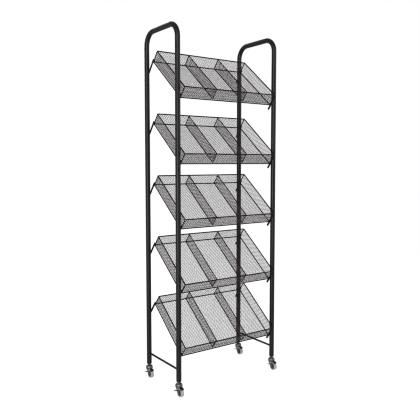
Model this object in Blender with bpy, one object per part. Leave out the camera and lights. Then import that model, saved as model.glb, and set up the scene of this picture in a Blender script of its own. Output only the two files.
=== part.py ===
"""Mobile basket rack: two bent tube side frames on casters, five sloping mesh baskets.

Run it with blender --background --python part.py, or from Blender's text editor.
Metres, +Z up, front at -Y. Inside the script a rack coordinate counts from the floor point
midway between the four posts. The empty rack_origin then moves everything together, so that
the world origin is the middle of the whole rack's footprint.
"""

import math

import bmesh
import bpy
from mathutils import Matrix, Vector

# Side frames
OVERALL_HEIGHT = 1.829
SIDE_FRAME_SPACING = 0.611
POST_SPACING = 0.299
TUBE_DIAMETER = 0.0254
TUBE_WALL = 0.0015
TOP_BEND_RADIUS = 0.067
CROSS_ROD_DIAMETER = 0.010
CROSS_ROD_ABOVE_TUBE_END = 0.055

# Baskets
BASKETS = 5
BOTTOM_BASKET_HEIGHT = 0.196
TOP_BASKET_BELOW_TOP = 0.365
BASKET_SLOPE = math.radians(38.7)
FRONT_CORNER_SETBACK = 0.0065
REAR_CORNER_SETBACK = 0.0345
BASKET_WALL_HEIGHT = 0.061
COMPARTMENTS = 3
RIM_ROD_DIAMETER = 0.005
UPRIGHT_ROD_DIAMETER = 0.0045
DIVIDER_ROD_DIAMETER = 0.004
MESH_THICKNESS = 0.0008
OPENINGS_PER_COMPARTMENT = 3
OPENINGS_UP_FLOOR = 5
MESH_BAR_WIDTH = 0.006

# Hook straps and the studs they hang on
STRAP_WIDTH = 0.010
STRAP_THICKNESS = 0.003
STRAP_TO_TUBE = 0.0018
STRAP_ABOVE_FRONT_STUD = 0.009
STRAP_ABOVE_REAR_CORNER = 0.014
STRAP_BELOW_FRONT_CORNER = 0.030
STRAP_BELOW_REAR_STUD = 0.007
WELD_BITE = 0.0005
STUD_DIAMETER = 0.004
STUD_SHOULDER_DIAMETER = 0.009
STUD_ROOT_DEPTH_LEFT = 0.0002

# Caster wheel
WHEEL_DIAMETER = 0.042
TREAD_WIDTH = 0.017
TYRE_DEPTH = 0.0047
TYRE_SHOULDER = 0.0025
WHEEL_TRAIL = 0.015
HUB_BOSS_DIAMETER = 0.012
HUB_WEB_INSET = 0.003
AXLE_DIAMETER = 0.006
AXLE_NUT_ACROSS_FLATS = 0.010
AXLE_NUT_HEIGHT = 0.004

# Caster fork
TYRE_TO_CROWN = 0.0045
CROWN_DIAMETER = 0.036
CROWN_HEIGHT = 0.0195
CROWN_RIM_HEIGHT = 0.0075
CROWN_NECK_DIAMETER = 0.015
FORK_WALL = 0.0018
FORK_SIDE_GAP = 0.0008
FORK_LEG_EMBED = 0.002
FORK_LEG_TOP_WIDTH = 0.026
FORK_LEG_STRAIGHT = 0.007
FORK_EYE_RADIUS = 0.0065

# Caster stem and tube plug
STEM_DIAMETER = 0.010
STEM_HEAD_DIAMETER = 0.014
STEM_HEAD_HEIGHT = 0.0012
NECK_LENGTH = 0.0055
PLUG_FLANGE_HEIGHT = 0.0045
PLUG_EDGE_ROUND = 0.0035
PLUG_SHANK_LENGTH = 0.018
STEM_IN_PLUG = 0.016

# Brake
BRAKE_PIVOT_ABOVE_AXLE = 0.014
BRAKE_PIVOT_BOSS_DIAMETER = 0.004
LEVER_THICKNESS = 0.0016
LEVER_ARM_WIDTH = 0.0065
LEVER_TAB_WIDTH = 0.011
LEVER_TAB_LENGTH = 0.0205
LEVER_TAB_CORNER = 0.004
LEVER_TAB_TIP_THICKNESS = 0.0018
LEVER_TAB_ABOVE_PIVOT = 0.0025
LEVER_TAB_ABOVE_NUT = 0.0024
LEVER_TAB_BEHIND_AXLE = 0.0028
SHOE_GAP = 0.0026
SHOE_THICKNESS = 0.005
SHOE_START = math.radians(14.0)
SHOE_END = math.radians(44.0)

# Gaps
SEAT_GAP = 0.0003
RUNNING_GAP = 0.0003
NOTCH_GAP = 0.0003

# Sides of the round shapes
TUBE_SIDES = 16
ROD_SIDES = 8
STUD_SIDES = 10
SMALL_SIDES = 12
TYRE_SIDES = 24
BEND_STEPS = 6
ROUND_STEPS = 3

# Sizes worked out from the ones above
tube_radius = TUBE_DIAMETER / 2
bore_radius = tube_radius - TUBE_WALL
wheel_radius = WHEEL_DIAMETER / 2
crown_bottom = WHEEL_DIAMETER + TYRE_TO_CROWN
crown_top = crown_bottom + CROWN_HEIGHT
plug_bottom = crown_top + NECK_LENGTH
tube_end = plug_bottom + PLUG_FLANGE_HEIGHT
basket_spacing = (OVERALL_HEIGHT - TOP_BASKET_BELOW_TOP - BOTTOM_BASKET_HEIGHT) / (BASKETS - 1)
half_frame_spacing = SIDE_FRAME_SPACING / 2
half_post_spacing = POST_SPACING / 2

slope_sin = math.sin(BASKET_SLOPE)
slope_cos = math.cos(BASKET_SLOPE)
rim_radius = RIM_ROD_DIAMETER / 2
upright_radius = UPRIGHT_ROD_DIAMETER / 2
divider_radius = DIVIDER_ROD_DIAMETER / 2
front_corner_y = FRONT_CORNER_SETBACK - half_post_spacing
floor_depth = (POST_SPACING - FRONT_CORNER_SETBACK - REAR_CORNER_SETBACK) / slope_cos
strap_outer_x = half_frame_spacing - tube_radius - STRAP_TO_TUBE
strap_inner_x = strap_outer_x - STRAP_THICKNESS
basket_end_x = strap_inner_x + WELD_BITE - rim_radius
front_stud_up_wall = FRONT_CORNER_SETBACK / slope_sin
rear_stud_below_corner = REAR_CORNER_SETBACK / slope_sin
sheet_inset = rim_radius + SEAT_GAP
inside_inset = sheet_inset + MESH_THICKNESS + SEAT_GAP
compartment_pitch = 2 * basket_end_x / COMPARTMENTS

leg_inner_x = TREAD_WIDTH / 2 + FORK_SIDE_GAP
leg_outer_x = leg_inner_x + FORK_WALL
lever_inner_x = leg_outer_x + SEAT_GAP
lever_outer_x = lever_inner_x + LEVER_THICKNESS
nut_outer_x = lever_inner_x + AXLE_NUT_HEIGHT
nut_radius = AXLE_NUT_ACROSS_FLATS / 2 / math.cos(math.pi / 6)
brake_pivot_z = wheel_radius + BRAKE_PIVOT_ABOVE_AXLE
shoe_inner_radius = wheel_radius + SHOE_GAP
shoe_outer_radius = shoe_inner_radius + SHOE_THICKNESS
tab_root_z = wheel_radius + nut_radius + LEVER_TAB_ABOVE_NUT
tab_reach = lever_outer_x + LEVER_TAB_LENGTH

RACK_SIDES = {"left": -1, "right": 1}
RACK_ENDS = {"front": -1, "rear": 1}


def material(name, colour, roughness, metallic):
    """A Principled material with one colour."""
    made = bpy.data.materials.new(name)
    made.use_nodes = True
    shader = made.node_tree.nodes["Principled BSDF"]
    shader.inputs["Base Color"].default_value = (*colour, 1.0)
    shader.inputs["Roughness"].default_value = roughness
    shader.inputs["Metallic"].default_value = metallic
    made.diffuse_color = (*colour, 1.0)
    return made


def frame_empty(name, location, parent=None, slope=0.0):
    """An empty that carries pieces, at rest turned only about X."""
    empty = bpy.data.objects.new(name, None)
    bpy.context.scene.collection.objects.link(empty)
    empty.location = location
    empty.rotation_euler = (slope, 0.0, 0.0)
    empty.parent = parent
    return empty


def piece(name, mesh, finish, parent):
    """A named object of one mesh, shaded smooth except at its sharp edges."""
    mesh.name = name
    mesh.materials.clear()
    mesh.materials.append(finish)
    mesh.shade_smooth()
    mesh.set_sharp_from_angle(angle=math.radians(35.0))
    made = bpy.data.objects.new(name, mesh)
    bpy.context.scene.collection.objects.link(made)
    made.parent = parent
    return made


def finished_mesh(shape):
    """A mesh from a bmesh, with its faces pointing out."""
    bmesh.ops.recalc_face_normals(shape, faces=shape.faces)
    mesh = bpy.data.meshes.new("shape")
    shape.to_mesh(mesh)
    shape.free()
    return mesh


def combine(base, tools, operation):
    """The base mesh joined with, or cut by, each tool mesh in turn."""
    worker = bpy.data.objects.new("worker", base)
    bpy.context.scene.collection.objects.link(worker)
    helpers = []
    for tool in tools:
        helper = bpy.data.objects.new("helper", tool)
        bpy.context.scene.collection.objects.link(helper)
        helpers.append(helper)
        step = worker.modifiers.new("step", "BOOLEAN")
        step.operation = operation
        step.solver = "EXACT"
        step.object = helper
    depsgraph = bpy.context.evaluated_depsgraph_get()
    result = bpy.data.meshes.new_from_object(worker.evaluated_get(depsgraph))
    for used in [worker, *helpers]:
        used_mesh = used.data
        bpy.data.objects.remove(used)
        bpy.data.meshes.remove(used_mesh)
    return result


def moved(mesh, matrix):
    """The same mesh after a move or a turn."""
    mesh.transform(matrix)
    return mesh


def around_x():
    """Turns a shape made about Z so that it lies about X."""
    return Matrix.Rotation(math.pi / 2, 4, "Y")


def outside(radius, sides):
    """Corner radius of a polygon that stays outside a circle."""
    return radius / math.cos(math.pi / sides)


def flat_reach(radius, sides):
    """Distance from the middle of a polygon to its flats, from its corner radius."""
    return radius * math.cos(math.pi / sides)


def arc_points(centre, radius, first_degrees, last_degrees, steps):
    """Points of an arc, in the two coordinates of its centre."""
    points = []
    for step in range(steps + 1):
        angle = math.radians(first_degrees + (last_degrees - first_degrees) * step / steps)
        points.append((centre[0] + radius * math.cos(angle), centre[1] + radius * math.sin(angle)))
    return points


def turned(profile, sides):
    """A solid or ring turned about Z from (radius, height) points."""
    shape = bmesh.new()
    first_turn = math.pi / sides
    corners = []
    for radius, height in profile:
        spot = (radius * math.cos(first_turn), radius * math.sin(first_turn), height)
        corners.append(shape.verts.new(spot))
    edges = [shape.edges.new(pair) for pair in zip(corners, corners[1:])]
    open_profile = profile[0][0] == 0.0 and profile[-1][0] == 0.0
    if not open_profile:
        edges.append(shape.edges.new((corners[-1], corners[0])))
    bmesh.ops.spin(shape, geom=corners + edges, cent=(0, 0, 0), axis=(0, 0, 1),
                   angle=math.tau, steps=sides, use_merge=True)
    bmesh.ops.remove_doubles(shape, verts=shape.verts, dist=0.000001)
    return finished_mesh(shape)


def cylinder(radius, low, high, sides):
    """A round bar along Z."""
    return turned([(0.0, low), (radius, low), (radius, high), (0.0, high)], sides)


def plate(outline, low, high):
    """A plate with its outline in (y, z), extruded along X from low to high."""
    shape = bmesh.new()
    corners = [shape.verts.new((low, y, z)) for y, z in outline]
    face = shape.faces.new(corners)
    grown = bmesh.ops.extrude_face_region(shape, geom=[face])
    new_corners = [item for item in grown["geom"] if isinstance(item, bmesh.types.BMVert)]
    bmesh.ops.translate(shape, verts=new_corners, vec=(high - low, 0, 0))
    return finished_mesh(shape)


def block(low, high):
    """A rectangular block between two corners."""
    outline = [(low[1], low[2]), (high[1], low[2]), (high[1], high[2]), (low[1], high[2])]
    return plate(outline, low[0], high[0])


def ring_on_path(shape, path, index, flat_normal, radius, sides, closed):
    """The cross-section at one point of a flat path, mitred between its two runs."""
    here = path[index]
    run_in = here - path[index - 1] if closed or index > 0 else path[1] - here
    run_out = path[(index + 1) % len(path)] - here if closed or index < len(path) - 1 else run_in
    run_in = run_in.normalized()
    mitre = (run_in + run_out.normalized()).normalized()
    sideways = flat_normal.cross(run_in)
    ring = []
    for step in range(sides):
        turn = math.tau * (step + 0.5) / sides
        offset = radius * (math.cos(turn) * flat_normal + math.sin(turn) * sideways)
        slide = -offset.dot(mitre) / run_in.dot(mitre)
        ring.append(shape.verts.new(here + offset + slide * run_in))
    return ring


def skin(shape, first, second):
    """Quads between two rings of as many points."""
    for step in range(len(first)):
        after = (step + 1) % len(first)
        shape.faces.new((first[step], first[after], second[after], second[step]))


def rod_loop(path, flat_normal, radius, sides):
    """A closed loop of rod with mitred corners."""
    shape = bmesh.new()
    rings = []
    for index in range(len(path)):
        rings.append(ring_on_path(shape, path, index, flat_normal, radius, sides, True))
    for index, ring in enumerate(rings):
        skin(shape, ring, rings[(index + 1) % len(rings)])
    return finished_mesh(shape)


def hollow_tube(path, flat_normal, outer, inner, sides):
    """An open-ended tube along a flat path."""
    shape = bmesh.new()
    skins = []
    for radius in (outer, inner):
        rings = []
        for index in range(len(path)):
            rings.append(ring_on_path(shape, path, index, flat_normal, radius, sides, False))
        for ring, following in zip(rings, rings[1:]):
            skin(shape, ring, following)
        skins.append(rings)
    for end in (0, -1):
        skin(shape, skins[0][end], skins[1][end])
    return finished_mesh(shape)


def basket_corner_heights():
    """Height of each basket's front bottom corner, from the bottom basket up."""
    return [BOTTOM_BASKET_HEIGHT + index * basket_spacing for index in range(BASKETS)]


def side_frame_path():
    """Centre line of a side frame: up the front post, over the top, down the rear post."""
    top = OVERALL_HEIGHT - tube_radius
    path = [Vector((0, -half_post_spacing, tube_end))]
    for side, first_angle in ((-1, math.pi), (1, math.pi / 2)):
        centre = Vector((0, side * (half_post_spacing - TOP_BEND_RADIUS), top - TOP_BEND_RADIUS))
        for step in range(BEND_STEPS + 1):
            angle = first_angle - step * math.pi / 2 / BEND_STEPS
            spoke = Vector((0, math.cos(angle), math.sin(angle)))
            path.append(centre + TOP_BEND_RADIUS * spoke)
    path.append(Vector((0, half_post_spacing, tube_end)))
    return path


def stud(side, y, z):
    """A shouldered stud welded to a post's inner side, pointing at the baskets."""
    root = half_frame_spacing - bore_radius - STUD_ROOT_DEPTH_LEFT
    shoulder_end = strap_outer_x + SEAT_GAP
    tip = basket_end_x + max(rim_radius, upright_radius) + SEAT_GAP
    profile = [(0.0, root), (STUD_SHOULDER_DIAMETER / 2, root), (STUD_SHOULDER_DIAMETER / 2, shoulder_end),
               (STUD_DIAMETER / 2, shoulder_end), (STUD_DIAMETER / 2, tip), (0.0, tip)]
    made = moved(turned(profile, STUD_SIDES), around_x())
    facing = Matrix.Identity(4) if side > 0 else Matrix.Rotation(math.pi, 4, "Z")
    return moved(made, Matrix.Translation((0, y, z)) @ facing)


def side_frame(side):
    """One bent tube with its studs, in rack coordinates."""
    tube = hollow_tube(side_frame_path(), Vector((1, 0, 0)), tube_radius,
                       outside(bore_radius, TUBE_SIDES), TUBE_SIDES)
    tube = moved(tube, Matrix.Translation((side * half_frame_spacing, 0, 0)))
    studs = []
    for corner_z in basket_corner_heights():
        front_z = corner_z + front_stud_up_wall * slope_cos
        rear_z = corner_z + floor_depth * slope_sin - rear_stud_below_corner * slope_cos
        studs.append(stud(side, -half_post_spacing, front_z))
        studs.append(stud(side, half_post_spacing, rear_z))
    return combine(tube, studs, "UNION")


def cross_rod(side):
    """The low rod between a side frame's posts, its ends saddled to the tube."""
    radius = CROSS_ROD_DIAMETER / 2
    height = tube_end + CROSS_ROD_ABOVE_TUBE_END
    reach = half_post_spacing - tube_radius / 2
    rod = moved(cylinder(radius, -reach, reach, SMALL_SIDES), Matrix.Rotation(-math.pi / 2, 4, "X"))
    rod = moved(rod, Matrix.Translation((side * half_frame_spacing, 0, height)))
    saddles = []
    saddle_radius = outside(tube_radius + SEAT_GAP, TUBE_SIDES)
    for end in RACK_ENDS.values():
        cutter = cylinder(saddle_radius, height - CROSS_ROD_DIAMETER, height + CROSS_ROD_DIAMETER, TUBE_SIDES)
        place = Matrix.Translation((side * half_frame_spacing, end * half_post_spacing, 0))
        saddles.append(moved(cutter, place))
    return combine(rod, saddles, "DIFFERENCE")


def strap(side, along, low, high, stud_height):
    """A hook strap in a basket's own coordinates, with the notch that drops over its stud."""
    inner, outer = sorted((side * strap_inner_x, side * strap_outer_x))
    bar = block((inner, along - STRAP_WIDTH / 2, low), (outer, along + STRAP_WIDTH / 2, high))
    notch_radius = STUD_DIAMETER / 2 + NOTCH_GAP
    outline = [(-notch_radius, -STRAP_BELOW_FRONT_CORNER)]
    for step in range(STUD_SIDES // 2 + 1):
        angle = math.pi - step * math.tau / STUD_SIDES
        arc_radius = outside(notch_radius, STUD_SIDES)
        outline.append((arc_radius * math.cos(angle), arc_radius * math.sin(angle)))
    outline.append((notch_radius, -STRAP_BELOW_FRONT_CORNER))
    notch = plate(outline, inner - STRAP_THICKNESS, outer + STRAP_THICKNESS)
    upright_in_basket = Matrix.Rotation(-BASKET_SLOPE, 4, "X")
    notch = moved(notch, Matrix.Translation((0, along, stud_height)) @ upright_in_basket)
    return combine(bar, [notch], "DIFFERENCE")


def basket_wire_frame():
    """Rims, corner uprights and hook straps of one basket, welded into one piece."""
    corners = ((-1, 0.0), (1, 0.0), (1, floor_depth), (-1, floor_depth))
    rims = []
    for height in (0.0, BASKET_WALL_HEIGHT):
        path = [Vector((side * basket_end_x, along, height)) for side, along in corners]
        rims.append(rod_loop(path, Vector((0, 0, 1)), rim_radius, ROD_SIDES))
    parts = [rims[1]]
    for side, along in corners:
        upright = cylinder(upright_radius, 0.0, BASKET_WALL_HEIGHT, ROD_SIDES)
        parts.append(moved(upright, Matrix.Translation((side * basket_end_x, along, 0))))
    for side in RACK_SIDES.values():
        parts.append(strap(side, 0.0, -STRAP_BELOW_FRONT_CORNER,
                           front_stud_up_wall + STRAP_ABOVE_FRONT_STUD, front_stud_up_wall))
        parts.append(strap(side, floor_depth, -rear_stud_below_corner - STRAP_BELOW_REAR_STUD,
                           STRAP_ABOVE_REAR_CORNER, -rear_stud_below_corner))
    return combine(rims[0], parts, "UNION")


def joined(meshes):
    """One mesh of several that do not touch."""
    shape = bmesh.new()
    for mesh in meshes:
        shape.from_mesh(mesh)
        bpy.data.meshes.remove(mesh)
    return finished_mesh(shape)


def spans(low, high, count, bar):
    """The clear stretches between the bars that divide low to high into equal parts."""
    pitch = (high - low) / count
    return [(low + step * pitch + bar / 2, low + (step + 1) * pitch - bar / 2) for step in range(count)]


def tray_openings():
    """Cutters for the openings in a tray: through its floor, its long walls and its end walls."""
    edge = sheet_inset + MESH_THICKNESS / 2
    openings_across = COMPARTMENTS * OPENINGS_PER_COMPARTMENT
    across = spans(edge - basket_end_x, basket_end_x - edge, openings_across, MESH_BAR_WIDTH)
    up_floor = spans(edge, floor_depth - edge, OPENINGS_UP_FLOOR, MESH_BAR_WIDTH)
    sill, lintel = spans(edge, BASKET_WALL_HEIGHT, 1, MESH_BAR_WIDTH)[0]
    floor_cuts = [block((x[0], y[0], 0.0), (x[1], y[1], sill)) for x in across for y in up_floor]
    long_wall_cuts = [block((x[0], 0.0, sill), (x[1], floor_depth, lintel)) for x in across]
    end_wall_cuts = [block((-basket_end_x, y[0], sill), (basket_end_x, y[1], lintel)) for y in up_floor]
    return [joined(floor_cuts), joined(long_wall_cuts), joined(end_wall_cuts)]


def basket_tray():
    """The mesh floor and four mesh walls of one basket: a thin open tray with a grid of openings."""
    outer_x = basket_end_x - sheet_inset
    tray = block((-outer_x, sheet_inset, sheet_inset),
                 (outer_x, floor_depth - sheet_inset, BASKET_WALL_HEIGHT))
    hollow_inset = sheet_inset + MESH_THICKNESS
    hollow_x = basket_end_x - hollow_inset
    hollow = block((-hollow_x, hollow_inset, hollow_inset),
                   (hollow_x, floor_depth - hollow_inset, BASKET_WALL_HEIGHT * 2))
    return combine(tray, [hollow, *tray_openings()], "DIFFERENCE")


def basket_divider():
    """A mesh divider in its wire edge, in the plane x = 0 of the basket."""
    low = inside_inset + divider_radius
    near = inside_inset + divider_radius
    far = floor_depth - inside_inset - divider_radius
    path = [Vector((0, near, low)), Vector((0, far, low)),
            Vector((0, far, BASKET_WALL_HEIGHT)), Vector((0, near, BASKET_WALL_HEIGHT))]
    edge = rod_loop(path, Vector((1, 0, 0)), divider_radius, ROD_SIDES)
    sheet = block((-MESH_THICKNESS / 2, near, low), (MESH_THICKNESS / 2, far, BASKET_WALL_HEIGHT))
    return combine(edge, [sheet], "UNION")


def plug():
    """The round plug in a tube's end, with the stem's hole through it."""
    hole = outside(STEM_DIAMETER / 2 + SEAT_GAP, SMALL_SIDES)
    shank = bore_radius - SEAT_GAP
    seat = tube_end - SEAT_GAP
    edge_centre = (tube_radius - PLUG_EDGE_ROUND, plug_bottom + PLUG_EDGE_ROUND)
    profile = [(hole, plug_bottom)]
    profile += arc_points(edge_centre, PLUG_EDGE_ROUND, -90, 0, ROUND_STEPS)
    profile += [(tube_radius, seat), (shank, seat), (shank, seat + PLUG_SHANK_LENGTH),
                (hole, seat + PLUG_SHANK_LENGTH)]
    return turned(profile, TUBE_SIDES)


def stem():
    """The stem, with the riveted head that keeps the fork on."""
    head_top = crown_bottom - RUNNING_GAP
    head_bottom = head_top - STEM_HEAD_HEIGHT
    top = tube_end + STEM_IN_PLUG
    shank = STEM_DIAMETER / 2
    profile = [(0.0, head_bottom), (STEM_HEAD_DIAMETER / 2, head_bottom), (STEM_HEAD_DIAMETER / 2, head_top),
               (shank, head_top), (shank, top), (0.0, top)]
    return turned(profile, SMALL_SIDES)


def fork_leg_outline():
    """Side view of a fork leg: wide under the crown, round at the axle."""
    top_half = FORK_LEG_TOP_WIDTH / 2
    top = crown_bottom + FORK_LEG_EMBED
    outline = [(top_half, top), (-top_half, top)]
    outline += arc_points((-WHEEL_TRAIL, wheel_radius), FORK_EYE_RADIUS, 170, 310, 4)
    outline.append((top_half, crown_bottom - FORK_LEG_STRAIGHT))
    return outline


def hole_along_x(radius, y, z, low, high):
    """A cutter or bar along X at a place in side view."""
    bar = moved(cylinder(radius, low, high, SMALL_SIDES), around_x())
    return moved(bar, Matrix.Translation((0, y, z)))


def fork():
    """The swivel fork: a domed crown with two legs."""
    hole = outside(STEM_DIAMETER / 2 + RUNNING_GAP, SMALL_SIDES)
    rim = CROWN_DIAMETER / 2
    neck = CROWN_NECK_DIAMETER / 2
    dome_height = CROWN_HEIGHT - CROWN_RIM_HEIGHT
    profile = [(hole, crown_bottom), (rim, crown_bottom)]
    for across, up in arc_points((0.0, 0.0), 1.0, 0, 90, ROUND_STEPS):
        profile.append((neck + (rim - neck) * across, crown_top - dome_height * (1.0 - up)))
    profile.append((hole, crown_top))
    crown = turned(profile, TUBE_SIDES)
    legs = [plate(fork_leg_outline(), leg_inner_x, leg_outer_x),
            plate(fork_leg_outline(), -leg_outer_x, -leg_inner_x)]
    solid = combine(crown, legs, "UNION")
    axle_hole = outside(AXLE_DIAMETER / 2 + SEAT_GAP, SMALL_SIDES)
    pivot_hole = outside(BRAKE_PIVOT_BOSS_DIAMETER / 2 + RUNNING_GAP, SMALL_SIDES)
    cuts = [hole_along_x(axle_hole, -WHEEL_TRAIL, wheel_radius, -2 * leg_outer_x, 2 * leg_outer_x),
            hole_along_x(pivot_hole, 0.0, brake_pivot_z, -2 * leg_outer_x, 0.0)]
    return combine(solid, cuts, "DIFFERENCE")


def axle():
    """The axle bolt with its head on the right and its nut on the left."""
    shank = hole_along_x(AXLE_DIAMETER / 2, 0, 0, -nut_outer_x, nut_outer_x - AXLE_NUT_HEIGHT / 2)
    ends = []
    for low, high in ((-nut_outer_x + AXLE_NUT_HEIGHT / 4, -lever_inner_x), (lever_inner_x, nut_outer_x)):
        ends.append(moved(cylinder(nut_radius, low, high, 6), around_x()))
    return combine(shank, ends, "UNION")


def wheel_core():
    """The wheel's core with its bore, boss, recessed web and rim."""
    bore = outside(AXLE_DIAMETER / 2 + RUNNING_GAP, SMALL_SIDES)
    half_width = TREAD_WIDTH / 2
    web = half_width - HUB_WEB_INSET
    rim_outer = wheel_radius - TYRE_DEPTH - SEAT_GAP
    rim_inner = rim_outer - TYRE_DEPTH / 2
    boss = HUB_BOSS_DIAMETER / 2
    side = [(bore, half_width), (boss, half_width), (boss, web), (rim_inner, web),
            (rim_inner, half_width - SEAT_GAP), (rim_outer, half_width - SEAT_GAP)]
    profile = side + [(radius, -along) for radius, along in reversed(side)]
    return moved(turned(profile, SMALL_SIDES), around_x())


def tyre():
    """The tyre, with a flat tread and rounded shoulders."""
    half_width = TREAD_WIDTH / 2
    inner = outside(wheel_radius - TYRE_DEPTH, TYRE_SIDES)
    tread = outside(wheel_radius, TYRE_SIDES)
    shoulder_centre = (tread - TYRE_SHOULDER, half_width - TYRE_SHOULDER)
    side = [(inner, half_width - SEAT_GAP)]
    side += arc_points(shoulder_centre, TYRE_SHOULDER, 90, 0, 2)
    profile = side + [(radius, -along) for radius, along in reversed(side)]
    return moved(turned(profile, TYRE_SIDES), around_x())


def shoe_point(angle, radius):
    """A place over the tyre's front, in (y, z) from the brake's pivot."""
    y = -WHEEL_TRAIL - radius * math.sin(angle)
    z = radius * math.cos(angle) - BRAKE_PIVOT_ABOVE_AXLE
    return y, z


def brake_shoe():
    """The shoe over the tyre's front, with the boss that sits in the lever."""
    steps = 3
    angles = [SHOE_START + (SHOE_END - SHOE_START) * step / steps for step in range(steps + 1)]
    outline = [shoe_point(angle, shoe_inner_radius) for angle in angles]
    outline += [shoe_point(angle, shoe_outer_radius) for angle in reversed(angles)]
    body = plate(outline, -leg_outer_x, TREAD_WIDTH / 2)
    boss_y, boss_z = shoe_point((SHOE_START + SHOE_END) / 2, shoe_inner_radius + SHOE_THICKNESS / 2)
    boss = hole_along_x(BRAKE_PIVOT_BOSS_DIAMETER / 2, boss_y, boss_z, -lever_outer_x - SEAT_GAP, -leg_inner_x)
    return combine(body, [boss], "UNION")


def brake_lever():
    """The brake lever: an arm on the fork's left leg with a wedge-shaped tab that is pushed by foot."""
    half_arm = LEVER_ARM_WIDTH / 2
    eye = shoe_point((SHOE_START + SHOE_END) / 2, shoe_inner_radius + SHOE_THICKNESS / 2)
    lean = math.degrees(math.atan2(eye[1], eye[0]))
    tab_root = tab_root_z - brake_pivot_z
    tab_front = LEVER_TAB_BEHIND_AXLE - WHEEL_TRAIL
    tab_rear = tab_front + LEVER_TAB_WIDTH
    tab_top = LEVER_TAB_ABOVE_PIVOT
    tip = -tab_reach
    outline = arc_points((0.0, 0.0), half_arm, lean - 270, lean - 90, 5)
    outline += arc_points(eye, half_arm, lean - 90, lean + 90, 5)
    outline.reverse()
    arm = plate(outline, -lever_outer_x, -lever_inner_x)
    side_view = [(-lever_inner_x, tab_root), (-lever_inner_x, tab_top), (tip, tab_top),
                 (tip, tab_top - LEVER_TAB_TIP_THICKNESS), (-lever_outer_x, tab_root)]
    wedge = plate([(-x, z) for x, z in side_view], tab_front, tab_rear)
    wedge = moved(wedge, Matrix.Rotation(math.pi / 2, 4, "Z"))
    plan = [(-lever_inner_x + SEAT_GAP, tab_front - SEAT_GAP), (tip + LEVER_TAB_CORNER, tab_front - SEAT_GAP),
            (tip - SEAT_GAP, tab_front + LEVER_TAB_CORNER), (tip - SEAT_GAP, tab_rear - LEVER_TAB_CORNER),
            (tip + LEVER_TAB_CORNER, tab_rear + SEAT_GAP), (-lever_inner_x + SEAT_GAP, tab_rear + SEAT_GAP)]
    plan_view = plate([(y, -x) for x, y in plan], 2 * tab_root, -2 * tab_root)
    plan_view = moved(plan_view, Matrix.Rotation(-math.pi / 2, 4, "Y"))
    tab = combine(wedge, [plan_view], "INTERSECT")
    boss = hole_along_x(BRAKE_PIVOT_BOSS_DIAMETER / 2, 0, 0, -lever_inner_x - LEVER_THICKNESS / 2,
                        -leg_inner_x - SEAT_GAP)
    solid = combine(arm, [tab, boss], "UNION")
    eye_hole = outside(BRAKE_PIVOT_BOSS_DIAMETER / 2 + SEAT_GAP, SMALL_SIDES)
    cut = hole_along_x(eye_hole, eye[0], eye[1], -2 * lever_outer_x, 0.0)
    return combine(solid, [cut], "DIFFERENCE")


def footprint_centre():
    """Middle of the whole rack's box, seen from above."""
    round_reach = flat_reach(max(CROWN_DIAMETER, TUBE_DIAMETER) / 2, TUBE_SIDES)
    lowest_x = -half_frame_spacing - tab_reach
    highest_x = half_frame_spacing + max(nut_outer_x, round_reach)
    wheel_front = half_post_spacing + WHEEL_TRAIL + wheel_radius
    rim_front = BASKET_WALL_HEIGHT * slope_sin - front_corner_y + rim_radius
    lowest_y = -max(wheel_front, rim_front)
    highest_y = half_post_spacing + round_reach
    return (lowest_x + highest_x) / 2, (lowest_y + highest_y) / 2


def build_side_frames(origin, finishes):
    """Both side frames and their cross rods."""
    for name, side in RACK_SIDES.items():
        piece(f"{name}_side_frame", side_frame(side), finishes["powder_coat"], origin)
        piece(f"{name}_cross_rod", cross_rod(side), finishes["powder_coat"], origin)


def build_baskets(origin, finishes):
    """All baskets: each has an empty at its front bottom corner, turned to its slope."""
    wire = basket_wire_frame()
    tray = basket_tray()
    divider = basket_divider()
    for index, height in enumerate(basket_corner_heights()):
        name = f"basket_{index + 1}"
        carrier = frame_empty(f"{name}_carrier", (0, front_corner_y, height), origin, BASKET_SLOPE)
        piece(f"{name}_wire_frame", wire.copy(), finishes["basket_wire"], carrier)
        piece(f"{name}_mesh_tray", tray.copy(), finishes["basket_mesh"], carrier)
        for number in range(1, COMPARTMENTS):
            made = piece(f"{name}_divider_{number}", divider.copy(), finishes["basket_divider"], carrier)
            made.location.x = -basket_end_x + number * compartment_pitch


def build_casters(origin, finishes):
    """All casters, with empties on the swivel, wheel and brake axes."""
    shapes = {"plug": plug(), "stem": stem(), "fork": fork(), "axle": axle(), "wheel_core": wheel_core(),
              "tyre": tyre(), "brake_lever": brake_lever(), "brake_shoe": brake_shoe()}
    finish_of = {"plug": "black_plastic", "stem": "zinc", "fork": "zinc", "axle": "zinc",
                 "wheel_core": "core_plastic", "tyre": "tyre_rubber", "brake_lever": "zinc",
                 "brake_shoe": "black_plastic"}
    for end_name, end in RACK_ENDS.items():
        for side_name, side in RACK_SIDES.items():
            corner = f"{end_name}_{side_name}"
            post = (side * half_frame_spacing, end * half_post_spacing, 0)
            foot = frame_empty(f"{corner}_swivel_axis", post, origin)
            hub = frame_empty(f"{corner}_wheel_axis", (0, -WHEEL_TRAIL, wheel_radius), foot)
            pivot = frame_empty(f"{corner}_brake_axis", (0, 0, brake_pivot_z), foot)
            carriers = {"plug": foot, "stem": foot, "fork": foot, "axle": hub, "wheel_core": hub, "tyre": hub,
                        "brake_lever": pivot, "brake_shoe": pivot}
            for kind, shape in shapes.items():
                piece(f"{corner}_{kind}", shape.copy(), finishes[finish_of[kind]], carriers[kind])


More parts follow.
